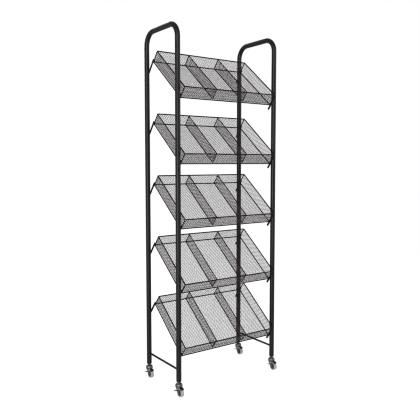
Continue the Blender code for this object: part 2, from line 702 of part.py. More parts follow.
def build_rack():
    """The whole rack."""
    for leftover in list(bpy.data.objects):
        bpy.data.objects.remove(leftover)
    finishes = {"powder_coat": material("powder_coat", (0.012, 0.011, 0.012), 0.38, 0.0),
                "basket_wire": material("basket_wire", (0.014, 0.013, 0.014), 0.45, 0.0),
                "basket_mesh": material("basket_mesh", (0.05, 0.047, 0.05), 0.5, 0.0),
                "basket_divider": material("basket_divider", (0.03, 0.028, 0.03), 0.5, 0.0),
                "zinc": material("zinc", (0.42, 0.42, 0.43), 0.35, 0.9),
                "black_plastic": material("black_plastic", (0.01, 0.01, 0.01), 0.4, 0.0),
                "core_plastic": material("core_plastic", (0.08, 0.08, 0.085), 0.45, 0.0),
                "tyre_rubber": material("tyre_rubber", (0.42, 0.42, 0.42), 0.6, 0.0)}
    shift_x, shift_y = footprint_centre()
    origin = frame_empty("rack_origin", (-shift_x, -shift_y, 0))
    build_side_frames(origin, finishes)
    build_baskets(origin, finishes)
    build_casters(origin, finishes)


build_rack()
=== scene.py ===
# %% [markdown]
# # A mobile basket rack, dressed for its picture
#
# The rack is two bent steel tubes on casters with five sloping mesh baskets hooked between them.
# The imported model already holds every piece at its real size, so this lesson only gives the pieces
# their fine shapes and finishes. Each new piece takes its place from the plain solid it stands for,
# and rides on the same body, so the rack still moves as it should.

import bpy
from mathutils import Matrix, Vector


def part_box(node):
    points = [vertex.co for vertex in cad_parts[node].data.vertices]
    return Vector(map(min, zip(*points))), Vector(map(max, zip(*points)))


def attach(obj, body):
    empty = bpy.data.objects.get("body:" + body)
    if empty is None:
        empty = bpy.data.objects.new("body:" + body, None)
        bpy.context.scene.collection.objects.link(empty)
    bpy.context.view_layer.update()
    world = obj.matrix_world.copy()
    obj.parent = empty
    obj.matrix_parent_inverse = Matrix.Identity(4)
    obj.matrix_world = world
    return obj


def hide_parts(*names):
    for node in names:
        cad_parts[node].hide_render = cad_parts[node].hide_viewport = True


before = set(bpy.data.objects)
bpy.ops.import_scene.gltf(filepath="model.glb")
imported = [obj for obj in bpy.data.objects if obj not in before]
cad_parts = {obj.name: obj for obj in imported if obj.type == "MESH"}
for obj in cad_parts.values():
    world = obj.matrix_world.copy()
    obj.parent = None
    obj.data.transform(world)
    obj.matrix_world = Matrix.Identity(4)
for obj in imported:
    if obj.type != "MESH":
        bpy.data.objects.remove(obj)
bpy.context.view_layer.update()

# %% [markdown]
# ## Tools of the trade
#
# Blender's own modules build the meshes. numpy handles long lists of points, and math the angles.

# %% Modules
import math

import bmesh
import bpy
import numpy as np
from mathutils import Matrix, Vector, noise

print("working in Blender", bpy.app.version_string)

# %% [markdown]
# ## Where things are
#
# Each caster stem sits on its post's axis, so the middle of a stem's box gives that axis. The side
# frames' boxes give the tubes' ends and tops. Reading places this way means that nothing has to be
# fitted by eye: if the solids are packed again with another size, the fine pieces follow.

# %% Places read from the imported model
CORNERS = ("front_left", "front_right", "rear_left", "rear_right")
SIDES = {"left": -1, "right": 1}


def middle_of(node):
    """The middle of a solid's box."""
    low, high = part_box(node)
    return (low + high) / 2


post_axis = {corner: middle_of(f"{corner}_stem").to_2d() for corner in CORNERS}
rack_middle = sum(post_axis.values(), Vector((0.0, 0.0))) / len(CORNERS)
frame_spacing = post_axis["front_right"].x - post_axis["front_left"].x
post_spacing = post_axis["rear_left"].y - post_axis["front_left"].y
tube_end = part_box("left_side_frame")[0].z
rack_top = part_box("left_side_frame")[1].z
print(f"posts {frame_spacing:.4f} m by {post_spacing:.4f} m apart,"
      f" tubes from {tube_end:.4f} to {rack_top:.4f}")

# %% [markdown]
# ## The camera
#
# The picture was taken from the front left of the rack, at chest height and a little under three
# metres away, with the camera almost level. The numbers come from matching the posts, rims and
# basket corners of the picture to the same places on the rack. Blender's shift slides the picture
# without turning the camera. It is kept small, because every other view of the rack keeps it too.

# %% Camera
PICTURE_PIXELS = 420
FOCAL_PIXELS = 542.0
HORIZON_SHIFT_PIXELS = -8.0
CAMERA_FROM_MIDDLE = Vector((-1.693, -2.366, 1.151))
CAMERA_YAW = math.radians(35.42)
CAMERA_PITCH = math.radians(-4.13)


def linked(name, data):
    """A new object that belongs to the scene."""
    made = bpy.data.objects.new(name, data)
    bpy.context.scene.collection.objects.link(made)
    return made


camera_data = bpy.data.cameras.new("camera")
camera_data.lens = camera_data.sensor_width * FOCAL_PIXELS / PICTURE_PIXELS
camera_data.shift_y = HORIZON_SHIFT_PIXELS / PICTURE_PIXELS
camera = linked("camera", camera_data)
camera.location = CAMERA_FROM_MIDDLE + Vector((rack_middle.x, rack_middle.y, 0.0))
camera.rotation_euler = (math.pi / 2 + CAMERA_PITCH, 0.0, -CAMERA_YAW)
bpy.context.scene.camera = camera
print(f"lens {camera_data.lens:.1f} mm, camera at {tuple(round(x, 3) for x in camera.location)}")

# %% [markdown]
# ## Floor
#
# The picture is a cut-out on plain white, and a wide pale floor stands in for it. A floor that only
# took light would turn grey round the rack. This one is dark and glows, so that it stays an even
# white, with only a faint shadow under the wheels.

# %% Floor
FLOOR_SIZE = 80.0
FLOOR_GREY = 0.10
FLOOR_ROUGHNESS = 0.9
FLOOR_GLOW = 0.95
WHITE = (1.0, 1.0, 1.0, 1.0)


def plain_node_material(name):
    """A new node material and its Principled shader."""
    made = bpy.data.materials.new(name)
    made.use_nodes = True
    return made, made.node_tree.nodes["Principled BSDF"]


floor_paint, floor_shader = plain_node_material("floor_paint")
floor_shader.inputs["Base Color"].default_value = (FLOOR_GREY, FLOOR_GREY, FLOOR_GREY, 1.0)
floor_shader.inputs["Roughness"].default_value = FLOOR_ROUGHNESS
floor_shader.inputs["Specular IOR Level"].default_value = 0.0
floor_shader.inputs["Emission Color"].default_value = WHITE
floor_shader.inputs["Emission Strength"].default_value = FLOOR_GLOW

half = FLOOR_SIZE / 2
floor_mesh = bpy.data.meshes.new("floor")
floor_mesh.from_pydata([(-half, -half, 0), (half, -half, 0), (half, half, 0), (-half, half, 0)],
                       [], [(0, 1, 2, 3)])
floor_mesh.materials.append(floor_paint)
floor = linked("floor", floor_mesh)
print("floor", FLOOR_SIZE, "m square")

# %% [markdown]
# ## World
#
# The world is white to the camera and dimmer for the light that it casts, because a black tube in
# an all-white room would have glowing edges, and the photographed tubes have dark edges with one
# soft stripe of light. A Light Path node tells camera rays from the rest. A picture gamma under one
# deepens the greys of the mesh and leaves white as it is, and a pixel filter a little narrower than
# usual keeps the thin rods crisp.

# %% World
WORLD_LIGHT = 0.62
WORLD_SEEN = 1.0
PICTURE_GAMMA = 0.75
FILTER_PIXELS = 1.25

world = bpy.data.worlds.new("studio")
world.use_nodes = True
bpy.context.scene.world = world
world_nodes = world.node_tree.nodes
world_links = world.node_tree.links
background = world_nodes["Background"]
background.inputs["Color"].default_value = WHITE
light_path = world_nodes.new("ShaderNodeLightPath")
strength = world_nodes.new("ShaderNodeMapRange")
strength.inputs["To Min"].default_value = WORLD_LIGHT
strength.inputs["To Max"].default_value = WORLD_SEEN
world_links.new(light_path.outputs["Is Camera Ray"], strength.inputs["Value"])
world_links.new(strength.outputs["Result"], background.inputs["Strength"])
bpy.context.scene.view_settings.view_transform = "Standard"
bpy.context.scene.view_settings.gamma = PICTURE_GAMMA
bpy.context.scene.cycles.filter_width = FILTER_PIXELS
print(f"world of strength {WORLD_LIGHT} for light and {WORLD_SEEN} for the camera")

# %% [markdown]
# ## Lamps
#
# Softboxes are flat lamps. The key lamp stands high in front on the left. A tall narrow one, lower
# and further round to the left, draws the stripe of light along each tube. The other two are weak
# and only lift the shadows on the right and at the back.

# %% Lamps
RACK_CENTRE = (0, 0, 0.9)


def softbox(name, place, aim, width, height, power):
    """A flat lamp that points at a place."""
    data = bpy.data.lights.new(name, "AREA")
    data.shape = "RECTANGLE"
    data.size = width
    data.size_y = height
    data.energy = power
    lamp = linked(name, data)
    lamp.location = place
    lamp.rotation_euler = (Vector(aim) - Vector(place)).to_track_quat("-Z", "Y").to_euler()
    return lamp


lamps = [
    softbox("key_softbox", (-3.2, -3.6, 3.4), RACK_CENTRE, 2.2, 2.2, 160.0),
    softbox("side_softbox", (-4.2, -2.6, 0.80), (0, 0, 0.80), 0.9, 1.5, 135.0),
    softbox("fill_softbox", (3.4, -2.6, 2.2), RACK_CENTRE, 2.0, 2.0, 60.0),
    softbox("rear_softbox", (0.5, 4.0, 3.2), RACK_CENTRE, 2.4, 2.4, 70.0),
]
print(len(lamps), "softboxes")

# %% [markdown]
# ## Finishes
#
# All steel of the frame and the baskets is powder coated: a satin black skin with a very fine
# orange-peel ripple, a little glossier where the powder ran thin. Noise textures make both. They
# read object coordinates, so the ripple has one real size on every piece and needs no unwrapping.

# %% A finish with ripple and uneven gloss
PATCH_SIZE = 0.05
PATCH_DETAIL = 4.0
COLOUR_STOPS = (0.35, 0.68)
GLOSS_STOPS = (0.3, 0.7)
RIPPLE_DETAIL = 2.0
RIPPLE_STRENGTH = 0.35


def grain(tree, where, size, detail):
    """A noise texture whose lumps have a real size."""
    texture = tree.nodes.new("ShaderNodeTexNoise")
    texture.inputs["Scale"].default_value = 1.0 / size
    texture.inputs["Detail"].default_value = detail
    tree.links.new(where.outputs["Object"], texture.inputs["Vector"])
    return texture.outputs["Fac"]


def finish(name, dark, light, rough_low, rough_high, ripple_size, ripple_depth,
           patch_size=PATCH_SIZE, metal=0.0, specular=0.5):
    """A Principled material whose colour and gloss drift in patches, over a fine ripple."""
    made, shader = plain_node_material(name)
    tree = made.node_tree
    shader.inputs["Metallic"].default_value = metal
    shader.inputs["Specular IOR Level"].default_value = specular
    where = tree.nodes.new("ShaderNodeTexCoord")
    patches = grain(tree, where, patch_size, PATCH_DETAIL)
    colours = tree.nodes.new("ShaderNodeValToRGB")
    for stop, position, colour in zip(colours.color_ramp.elements, COLOUR_STOPS, (dark, light)):
        stop.position = position
        stop.color = (*colour, 1.0)
    tree.links.new(patches, colours.inputs["Fac"])
    tree.links.new(colours.outputs["Color"], shader.inputs["Base Color"])
    gloss = tree.nodes.new("ShaderNodeMapRange")
    gloss.inputs["From Min"].default_value = GLOSS_STOPS[0]
    gloss.inputs["From Max"].default_value = GLOSS_STOPS[1]
    gloss.inputs["To Min"].default_value = rough_low
    gloss.inputs["To Max"].default_value = rough_high
    tree.links.new(patches, gloss.inputs["Value"])
    tree.links.new(gloss.outputs["Result"], shader.inputs["Roughness"])
    bump = tree.nodes.new("ShaderNodeBump")
    bump.inputs["Strength"].default_value = RIPPLE_STRENGTH
    bump.inputs["Distance"].default_value = ripple_depth
    tree.links.new(grain(tree, where, ripple_size, RIPPLE_DETAIL), bump.inputs["Height"])
    tree.links.new(bump.outputs["Normal"], shader.inputs["Normal"])
    return made


print("one recipe for all finishes is ready")

# %% [markdown]
# The coat on the rods is duller than the tubes' coat. The coat on the mesh is drawn a little lighter
# and warmer than the same coat elsewhere. This is a painted sheen for the light that its thousands
# of small edges catch.

# %% Powder coats
tube_coat = finish("tube_coat", (0.010, 0.0095, 0.010), (0.014, 0.013, 0.014), 0.36, 0.46,
                   0.0016, 0.00012, specular=0.35)
wire_coat = finish("wire_coat", (0.009, 0.008, 0.009), (0.013, 0.012, 0.013), 0.48, 0.58,
                   0.0012, 0.00008, specular=0.25)
# The mesh's powder coat with a painted sheen: its colour is lifted for the light that its many small edges
# catch.
mesh_coat_and_sheen = finish("mesh_coat_and_sheen", (0.040, 0.025, 0.030), (0.050, 0.032, 0.038), 0.42, 0.55,
                   0.0010, 0.00004, specular=0.4)
print("powder coats:", tube_coat.name, wire_coat.name, mesh_coat_and_sheen.name)

# %% [markdown]
# The casters are zinc plated, bright on the brake lever and dull on the fork, the stem and the bolt.
# Plug and brake block are black plastic, the wheel's core is dark grey plastic and its tyre grey
# rubber. Their patches are smaller than the tubes', as the pieces are.

# %% Caster finishes
zinc = finish("zinc_plate", (0.40, 0.40, 0.41), (0.56, 0.56, 0.55), 0.30, 0.44,
              0.0009, 0.00001, 0.004, metal=1.0)
fork_zinc = finish("dull_zinc", (0.14, 0.14, 0.145), (0.22, 0.22, 0.222), 0.42, 0.56,
                   0.0009, 0.00001, 0.004, metal=1.0)
black_plastic = finish("black_plastic", (0.010, 0.010, 0.010), (0.016, 0.016, 0.016), 0.42, 0.55,
                       0.0005, 0.00004, 0.006)
core_plastic = finish("core_plastic", (0.070, 0.070, 0.074), (0.095, 0.095, 0.098), 0.40, 0.52,
                      0.0006, 0.00004, 0.006)
tyre_rubber = finish("tyre_rubber", (0.27, 0.27, 0.268), (0.34, 0.34, 0.337), 0.60, 0.78,
                     0.0005, 0.00005, 0.007)
print("caster finishes:", zinc.name, fork_zinc.name, black_plastic.name, core_plastic.name, tyre_rubber.name)

# %% [markdown]
# ## Making, joining and placing meshes
#
# Every shape becomes a mesh first, so that five baskets and four casters can share the same few
# meshes. Modifiers do the cutting and the softening of edges: they are put on a holder, an object
# for a moment's work, and the finished mesh is taken off it.

# %% Working on one mesh
CUT_MARGIN = 0.002


def taken_off(holder):
    """The finished mesh of a holder, which goes away."""
    depsgraph = bpy.context.evaluated_depsgraph_get()
    mesh = bpy.data.meshes.new_from_object(holder.evaluated_get(depsgraph))
    bpy.data.objects.remove(holder)
    return mesh


def worked(mesh, *changes):
    """The mesh after some modifiers, each given as (kind, settings)."""
    holder = linked("holder", mesh)
    for kind, settings in changes:
        modifier = holder.modifiers.new(kind, kind)
        for setting, value in settings.items():
            setattr(modifier, setting, value)
    result = taken_off(holder)
    bpy.data.meshes.remove(mesh)
    return result


def broken_edges(width, segments=2, sharper_than=55):
    """A Bevel for edges that turn by more than an angle in degrees."""
    return ("BEVEL", {"width": width, "segments": segments, "limit_method": "ANGLE",
                      "angle_limit": math.radians(sharper_than)})


def cut(mesh, operation, cutter_mesh, *later):
    """The mesh after a Boolean with a cutter, and after any later changes."""
    cutter = linked("cutter", cutter_mesh)
    boolean = ("BOOLEAN", {"operation": operation, "solver": "EXACT", "object": cutter})
    made = worked(mesh, boolean, *later)
    bpy.data.objects.remove(cutter)
    bpy.data.meshes.remove(cutter_mesh)
    return made


print("modifiers, edges and cuts are ready")

# %% Joining and moving
def joined(meshes):
    """Several meshes as one, each part a closed shell of its own."""
    shape = bmesh.new()
    for mesh in meshes:
        shape.from_mesh(mesh)
        bpy.data.meshes.remove(mesh)
    result = bpy.data.meshes.new("joined")
    shape.to_mesh(result)
    shape.free()
    return result


def moved(mesh, matrix):
    """The same mesh after a move or a turn."""
    mesh.transform(matrix)
    return mesh


def shell(shape):
    """A mesh from a bmesh, faces turned outwards."""
    bmesh.ops.recalc_face_normals(shape, faces=shape.faces)
    mesh = bpy.data.meshes.new("shell")
    shape.to_mesh(mesh)
    shape.free()
    return mesh


print("joining and moving are ready")

# %% [markdown]
# Turned pieces are a profile spun about an axis. Plates are an outline pushed through. Both start
# from a few points, with the round stretches of an outline worked out as arcs.

# %% Turned and pushed shapes
MERGE_DISTANCE = 0.0000005


def turned(profile, sides=48):
    """A solid spun about Z from (radius, height) points that start and end on the axis, or a ring."""
    shape = bmesh.new()
    corners = [shape.verts.new((radius, 0.0, height)) for radius, height in profile]
    edges = [shape.edges.new(pair) for pair in zip(corners, corners[1:])]
    if profile[0][0] > 0.0 or profile[-1][0] > 0.0:
        edges.append(shape.edges.new((corners[-1], corners[0])))
    bmesh.ops.spin(shape, geom=corners + edges, cent=(0, 0, 0), axis=(0, 0, 1),
                   angle=math.tau, steps=sides, use_merge=True)
    bmesh.ops.remove_doubles(shape, verts=shape.verts, dist=MERGE_DISTANCE)
    return shell(shape)


def pushed(outline, low, high):
    """A plate with its outline in (y, z), from low to high along X."""
    shape = bmesh.new()
    face = shape.faces.new([shape.verts.new((low, y, z)) for y, z in outline])
    grown = bmesh.ops.extrude_face_region(shape, geom=[face])
    far_side = [item for item in grown["geom"] if isinstance(item, bmesh.types.BMVert)]
    bmesh.ops.translate(shape, verts=far_side, vec=(high - low, 0, 0))
    return shell(shape)


def arc(centre, radius, first, last, steps):
    """Points of an arc in a plane, angles in degrees."""
    turns = [math.radians(first + (last - first) * step / steps) for step in range(steps + 1)]
    return [(centre[0] + radius * math.cos(turn), centre[1] + radius * math.sin(turn)) for turn in turns]


print("turned and pushed shapes are ready")

# %% [markdown]
# Round bars come from Blender curves with a bevel, because a curve follows bends without a pinch. A
# curve's bevel of resolution n has 2n + 4 sides.

# %% Bars and bent paths
BEAD_SWELL = 0.22


def bars(paths, radius, closed=False, sides=16, beads=None):
    """Round bars along paths, as one mesh. beads makes the thickness swell and shrink along them."""
    curve = bpy.data.curves.new("bars", "CURVE")
    curve.dimensions = "3D"
    curve.bevel_depth = radius
    curve.bevel_resolution = sides // 2 - 2
    curve.use_fill_caps = True
    for path in paths:
        spline = curve.splines.new("POLY")
        spline.points.add(len(path) - 1)
        spline.use_cyclic_u = closed
        for index, (point, spot) in enumerate(zip(spline.points, path)):
            point.co = (*spot, 1.0)
            point.radius = 1.0 if beads is None else 1.0 + BEAD_SWELL * math.sin(beads * index)
    mesh = taken_off(linked("holder", curve))
    bpy.data.curves.remove(curve)
    return mesh


def rounded_path(corners, bend_radius, closed=True, steps=8):
    """A polyline whose corners are arcs."""
    path = []
    spots = [Vector(corner) for corner in corners]
    for index, here in enumerate(spots):
        if not closed and index in (0, len(spots) - 1):
            path.append(here)
            continue
        back = (spots[index - 1] - here).normalized()
        ahead = (spots[(index + 1) % len(spots)] - here).normalized()
        half_angle = back.angle(ahead) / 2
        centre = here + (back + ahead).normalized() * bend_radius / math.sin(half_angle)
        start = here + back * bend_radius / math.tan(half_angle) - centre
        end = here + ahead * bend_radius / math.tan(half_angle) - centre
        axis = start.cross(end).normalized()
        for step in range(steps + 1):
            turn = (math.pi - 2 * half_angle) * step / steps
            path.append(centre + Matrix.Rotation(turn, 3, axis) @ start)
    return path


print("bars and bent paths are ready")

# %% [markdown]
# A finished piece is an object with a name, a coat and a place. It rides on a body of the rack, and
# hides the plain solid that it replaces. Faces that meet at less than 38 degrees are shaded as one
# smooth surface.

# %% Pieces that ride on the rack
SHARP_ANGLE = math.radians(38.0)

made_pieces = []


def piece(name, mesh, material, body, nodes, place=None):
    """A finished piece: smooth, coated, in its place and riding on its body."""
    if not mesh.materials:
        mesh.materials.append(material)
        mesh.shade_smooth()
        mesh.set_sharp_from_angle(angle=SHARP_ANGLE)
    made = linked(name, mesh)
    made.matrix_world = place or Matrix.Identity(4)
    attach(made, body)
    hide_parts(*nodes)
    made_pieces.append(made)
    return made


print("ready to make pieces")

# %% [markdown]
# ## Side frames
#
# Each side frame is one steel tube, an inch thick, bent twice on a former into a tall arch. Swept
# along its path with finely stepped bends, the tube keeps the smooth stripe of light over the top.
# The wall is real: the sweep's end caps, its only faces with more than four corners, are taken off,
# and a Solidify modifier gives it 1.5 mm.

# %% Side frame tube
TUBE_DIAMETER = 0.0254
TUBE_WALL = 0.0015
TUBE_SIDES = 40
TOP_BEND_RADIUS = 0.067
TOP_BEND_STEPS = 24

tube_radius = TUBE_DIAMETER / 2


def frame_tube(side):
    """The bent tube of one side frame, hollow, in world places."""
    front = post_axis[f"front_{side}"]
    rear = post_axis[f"rear_{side}"]
    top = rack_top - tube_radius
    corners = [(front.x, front.y, tube_end), (front.x, front.y, top),
               (rear.x, rear.y, top), (rear.x, rear.y, tube_end)]
    path = rounded_path(corners, TOP_BEND_RADIUS, closed=False, steps=TOP_BEND_STEPS)
    mesh = bars([path], tube_radius, sides=TUBE_SIDES)
    shape = bmesh.new()
    shape.from_mesh(mesh)
    caps = [face for face in shape.faces if len(face.verts) > 4]
    bmesh.ops.delete(shape, geom=caps, context="FACES_ONLY")
    bmesh.ops.remove_doubles(shape, verts=shape.verts, dist=MERGE_DISTANCE)
    shape.to_mesh(mesh)
    shape.free()
    return worked(mesh, ("SOLIDIFY", {"thickness": TUBE_WALL, "offset": -1.0, "use_even_offset": True}))


print(f"tube {TUBE_DIAMETER * 1000:.1f} mm across with a wall of {TUBE_WALL * 1000:.1f} mm")

# %% [markdown]
# The baskets hang on studs: a shoulder welded to the post, and a pin that goes through the notch of
# the hook strap. The weld is a closed bead that follows the saddle where a round shoulder meets a
# round tube, so its path comes from the two radii.

# %% Studs, welds and cross rods
STUD_DIAMETER = 0.004
STUD_SHOULDER_DIAMETER = 0.009
STUD_EDGE = 0.0005
STRAP_TO_TUBE = 0.0018
STRAP_THICKNESS = 0.003
SEAT_GAP = 0.0003
WELD_RADIUS = 0.0011
WELD_STEPS = 28
WELD_WAVES = 2.3
CROSS_ROD_DIAMETER = 0.010


def saddle_weld(post, height, radius, facing):
    """A weld bead round a bar that meets a post square on. facing is the bar's way out of the post."""
    middle = Vector((post.x, post.y, height))
    out = Vector(facing)
    across = Vector((0, 0, 1)).cross(out)
    path = []
    for step in range(WELD_STEPS):
        angle = math.tau * step / WELD_STEPS
        sideways = radius * math.cos(angle)
        reach = math.sqrt(tube_radius ** 2 - sideways ** 2)
        path.append(middle + out * reach + across * sideways + Vector((0, 0, radius * math.sin(angle))))
    return bars([path], WELD_RADIUS, closed=True, sides=8, beads=WELD_WAVES)


def stud(post, height, inward):
    """A shouldered stud on the inner side of a post, with its weld."""
    root = tube_radius - TUBE_WALL
    shoulder_end = tube_radius + STRAP_TO_TUBE - SEAT_GAP
    tip = shoulder_end + STRAP_THICKNESS + 2 * SEAT_GAP
    pin = STUD_DIAMETER / 2
    shoulder = STUD_SHOULDER_DIAMETER / 2
    profile = [(0.0, root), (shoulder, root), (shoulder, shoulder_end - STUD_EDGE),
               (shoulder - STUD_EDGE, shoulder_end), (pin, shoulder_end), (pin, tip - STUD_EDGE),
               (pin - STUD_EDGE, tip), (0.0, tip)]
    body = moved(turned(profile, 32), Matrix.Rotation(inward * math.pi / 2, 4, "Y"))
    body = moved(body, Matrix.Translation((post.x, post.y, height)))
    return [body, saddle_weld(post, height, shoulder, (inward, 0, 0))]


def cross_rod(side):
    """The low rod between two posts, welded to both."""
    height = middle_of(f"{side}_cross_rod").z
    front = post_axis[f"front_{side}"]
    rear = post_axis[f"rear_{side}"]
    radius = CROSS_ROD_DIAMETER / 2
    bar = bars([[(front.x, front.y, height), (rear.x, rear.y, height)]], radius, sides=32)
    return [bar, saddle_weld(front, height, radius, (0, 1, 0)), saddle_weld(rear, height, radius, (0, -1, 0))]


print(f"studs of {STUD_DIAMETER * 1000:.0f} mm, cross rods of {CROSS_ROD_DIAMETER * 1000:.0f} mm")

# %% [markdown]
# ## Basket sizes
#
# A basket is drawn in coordinates of its own: x across, y up the sloping floor, z up its walls, with
# the front bottom corner line as y = z = 0. The mesh tray's box gives that corner's place in the
# rack. The two dividers stand at thirds, so their spacing gives the width. The studs stand on the
# posts' axes, and where the leaning corner lines cross those axes gives their places on the straps.

# %% Basket sizes
BASKETS = range(1, 6)
COMPARTMENTS = 3
BASKET_SLOPE = math.radians(38.7)
WALL_HEIGHT = 0.061
RIM_ROD = 0.005
UPRIGHT_ROD = 0.0045
DIVIDER_ROD = 0.004
SHEET_INSET = 0.0028

slope_sin = math.sin(BASKET_SLOPE)
slope_cos = math.cos(BASKET_SLOPE)


def front_corner(tray_low):
    """Where the front bottom corner line is, as (y, z), from the low end of a tray's box."""
    return (tray_low.y - SHEET_INSET * slope_cos + WALL_HEIGHT * slope_sin,
            tray_low.z - SHEET_INSET * (slope_sin + slope_cos))


tray_low, tray_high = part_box("basket_1_mesh_tray")
corner_y, corner_z = front_corner(tray_low)
floor_depth = (tray_high.z - corner_z - WALL_HEIGHT * slope_cos) / slope_sin + SHEET_INSET
divider_x = [middle_of(f"basket_1_divider_{number}").x for number in (1, 2)]
compartment = divider_x[1] - divider_x[0]
basket_end_x = compartment * COMPARTMENTS / 2
basket_middle_x = sum(divider_x) / 2
front_stud_up_wall = (corner_y - post_axis["front_left"].y) / slope_sin
rear_stud_below = (post_axis["rear_left"].y - tray_high.y - SHEET_INSET * (slope_sin - slope_cos)) / slope_sin
print(f"basket {2 * basket_end_x:.4f} wide, floor {floor_depth:.4f} deep, studs"
      f" {front_stud_up_wall:.4f} up the front wall and {rear_stud_below:.4f} below the rear corner")

# %% Basket places
def basket_place(number):
    """From a basket's own coordinates to the rack's."""
    corner = front_corner(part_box(f"basket_{number}_mesh_tray")[0])
    return Matrix.Translation((basket_middle_x, *corner)) @ Matrix.Rotation(BASKET_SLOPE, 4, "X")


basket_places = {number: basket_place(number) for number in BASKETS}
print("basket corners at", [round(place.translation.z, 4) for place in basket_places.values()], "m")

# %% [markdown]
# With the baskets' places known, the studs can go on the posts, and the side frames are complete.

# %% Side frames as pieces
for side, sign in SIDES.items():
    shapes = [frame_tube(side)]
    for place in basket_places.values():
        corner_height = place.translation.z
        front_height = corner_height + front_stud_up_wall * slope_cos
        rear_height = corner_height + floor_depth * slope_sin - rear_stud_below * slope_cos
        shapes += stud(post_axis[f"front_{side}"], front_height, -sign)
        shapes += stud(post_axis[f"rear_{side}"], rear_height, -sign)
    tube = piece(f"{side}_arch_tube", joined(shapes), tube_coat, "rack_frame",
                 [f"{side}_side_frame"])
    rod = piece(f"{side}_tie_rod", joined(cross_rod(side)), tube_coat, "rack_frame",
                [f"{side}_cross_rod"])
    print(tube.name, len(tube.data.polygons), "faces,", rod.name, len(rod.data.polygons), "faces")

# %% [markdown]
# ## Basket wires
#
# The outline of a basket is drawn with 5 mm rod: one ring round the floor, one round the top of the
# walls, and a thinner upright at each corner. The rings are bent at the corners and welded at the
# uprights. Dipped wire takes a thick coat of powder, so each rod is drawn with a quarter of a
# millimetre of coat round the bare wire.

# %% Rings and uprights
WIRE_COAT = 0.00025
RIM_BEND = 0.0045
UPRIGHT_INSET = 0.0006
UPRIGHT_PAST_RING = 0.0012

basket_corners = ((-1, 0.0), (1, 0.0), (1, floor_depth), (-1, floor_depth))


def basket_rings():
    """The ring round the floor and the ring round the top of the walls."""
    rings = []
    for height in (0.0, WALL_HEIGHT):
        corners = [(side * basket_end_x, along, height) for side, along in basket_corners]
        rings.append(rounded_path(corners, RIM_BEND))
    return bars(rings, RIM_ROD / 2 + WIRE_COAT, closed=True, sides=20)


def inside_corner(side, along, inset):
    """A place inside one corner of the rings, as (x, y)."""
    inward_y = 1 if along == 0.0 else -1
    return (side * (basket_end_x - inset), along + inward_y * inset)


def basket_uprights():
    """The four corner rods."""
    uprights = []
    for side, along in basket_corners:
        spot = inside_corner(side, along, UPRIGHT_INSET + WIRE_COAT)
        uprights.append([(*spot, -UPRIGHT_PAST_RING), (*spot, WALL_HEIGHT + UPRIGHT_PAST_RING)])
    return bars(uprights, UPRIGHT_ROD / 2 + WIRE_COAT, sides=16)


print(f"rings of {RIM_ROD * 1000:.1f} mm and uprights of {UPRIGHT_ROD * 1000:.1f} mm before the coat")

# %% [markdown]
# Small lumps of weld sit where the rods cross. Each is a ball with its corners pushed in and out by
# a noise, with another stretch of the noise for every lump, so that no two look alike.

# %% Weld lumps
LUMP_RADIUS = 0.0033
LUMP_INSET = 0.0019
LUMP_FROM_RING = 0.0016
LUMP_UNEVENNESS = 0.22
LUMP_GRAIN = 500.0
LUMP_SHIFT = 3.7


def weld_lump(place, radius, seed):
    """A small uneven drop of weld metal."""
    shape = bmesh.new()
    bmesh.ops.create_icosphere(shape, subdivisions=2, radius=radius)
    for corner in shape.verts:
        spot = corner.co * LUMP_GRAIN + Vector((seed * LUMP_SHIFT, 0, 0))
        corner.co *= 1.0 + LUMP_UNEVENNESS * noise.noise(spot)
    bmesh.ops.translate(shape, verts=shape.verts, vec=place)
    return shell(shape)


def corner_lumps():
    """A lump inside each corner of both rings."""
    lumps = []
    for side, along in basket_corners:
        spot = inside_corner(side, along, LUMP_INSET)
        for height in (LUMP_FROM_RING, WALL_HEIGHT - LUMP_FROM_RING):
            lumps.append(weld_lump((*spot, height), LUMP_RADIUS, len(lumps)))
    return lumps


print(f"weld lumps of {LUMP_RADIUS * 2000:.1f} mm")

# %% [markdown]
# A hook strap is a flat bar welded to the outside of the end corners. Its notch drops over a stud
# from above, so the notch runs straight down although the strap leans with the basket. A Boolean
# with a slot-shaped cutter makes it, and a small bevel breaks the sheared edges.

# %% Hook straps
STRAP_WIDTH = 0.010
STRAP_CORNER = 0.002
STRAP_EDGE = 0.0003
STRAP_ABOVE_FRONT_STUD = 0.009
STRAP_ABOVE_REAR_CORNER = 0.014
STRAP_BELOW_FRONT_CORNER = 0.030
STRAP_BELOW_REAR_STUD = 0.007
STRAP_WELD_BITE = 0.0005
NOTCH_GAP = 0.0003
NOTCH_REACH = 0.03

strap_inner_x = basket_end_x + RIM_ROD / 2 - STRAP_WELD_BITE
strap_outer_x = strap_inner_x + STRAP_THICKNESS


def hook_strap(side, along, low, high, stud_height):
    """One hook strap in the basket's coordinates."""
    inner, outer = sorted((side * strap_inner_x, side * strap_outer_x))
    rear = along + STRAP_WIDTH / 2 - STRAP_CORNER
    front = along - STRAP_WIDTH / 2 + STRAP_CORNER
    outline = arc((rear, high - STRAP_CORNER), STRAP_CORNER, 0, 90, 4)
    outline += arc((front, high - STRAP_CORNER), STRAP_CORNER, 90, 180, 4)
    outline += arc((front, low + STRAP_CORNER), STRAP_CORNER, 180, 270, 4)
    outline += arc((rear, low + STRAP_CORNER), STRAP_CORNER, 270, 360, 4)
    notch_radius = STUD_DIAMETER / 2 + NOTCH_GAP
    notch = arc((0, 0), notch_radius, 0, 180, 16)
    notch += [(-notch_radius, -NOTCH_REACH), (notch_radius, -NOTCH_REACH)]
    lean_back = Matrix.Rotation(-BASKET_SLOPE, 4, "X")
    cutter = moved(pushed(notch, inner - CUT_MARGIN, outer + CUT_MARGIN),
                   Matrix.Translation((0, along, stud_height)) @ lean_back)
    return cut(pushed(outline, inner, outer), "DIFFERENCE", cutter, broken_edges(STRAP_EDGE, sharper_than=50))


print(f"hook straps {STRAP_WIDTH * 1000:.0f} by {STRAP_THICKNESS * 1000:.0f} mm")

# %% Rods and straps of a basket
STRAP_LUMP_RADIUS = 0.0017
STRAP_LUMP_BELOW = 0.001


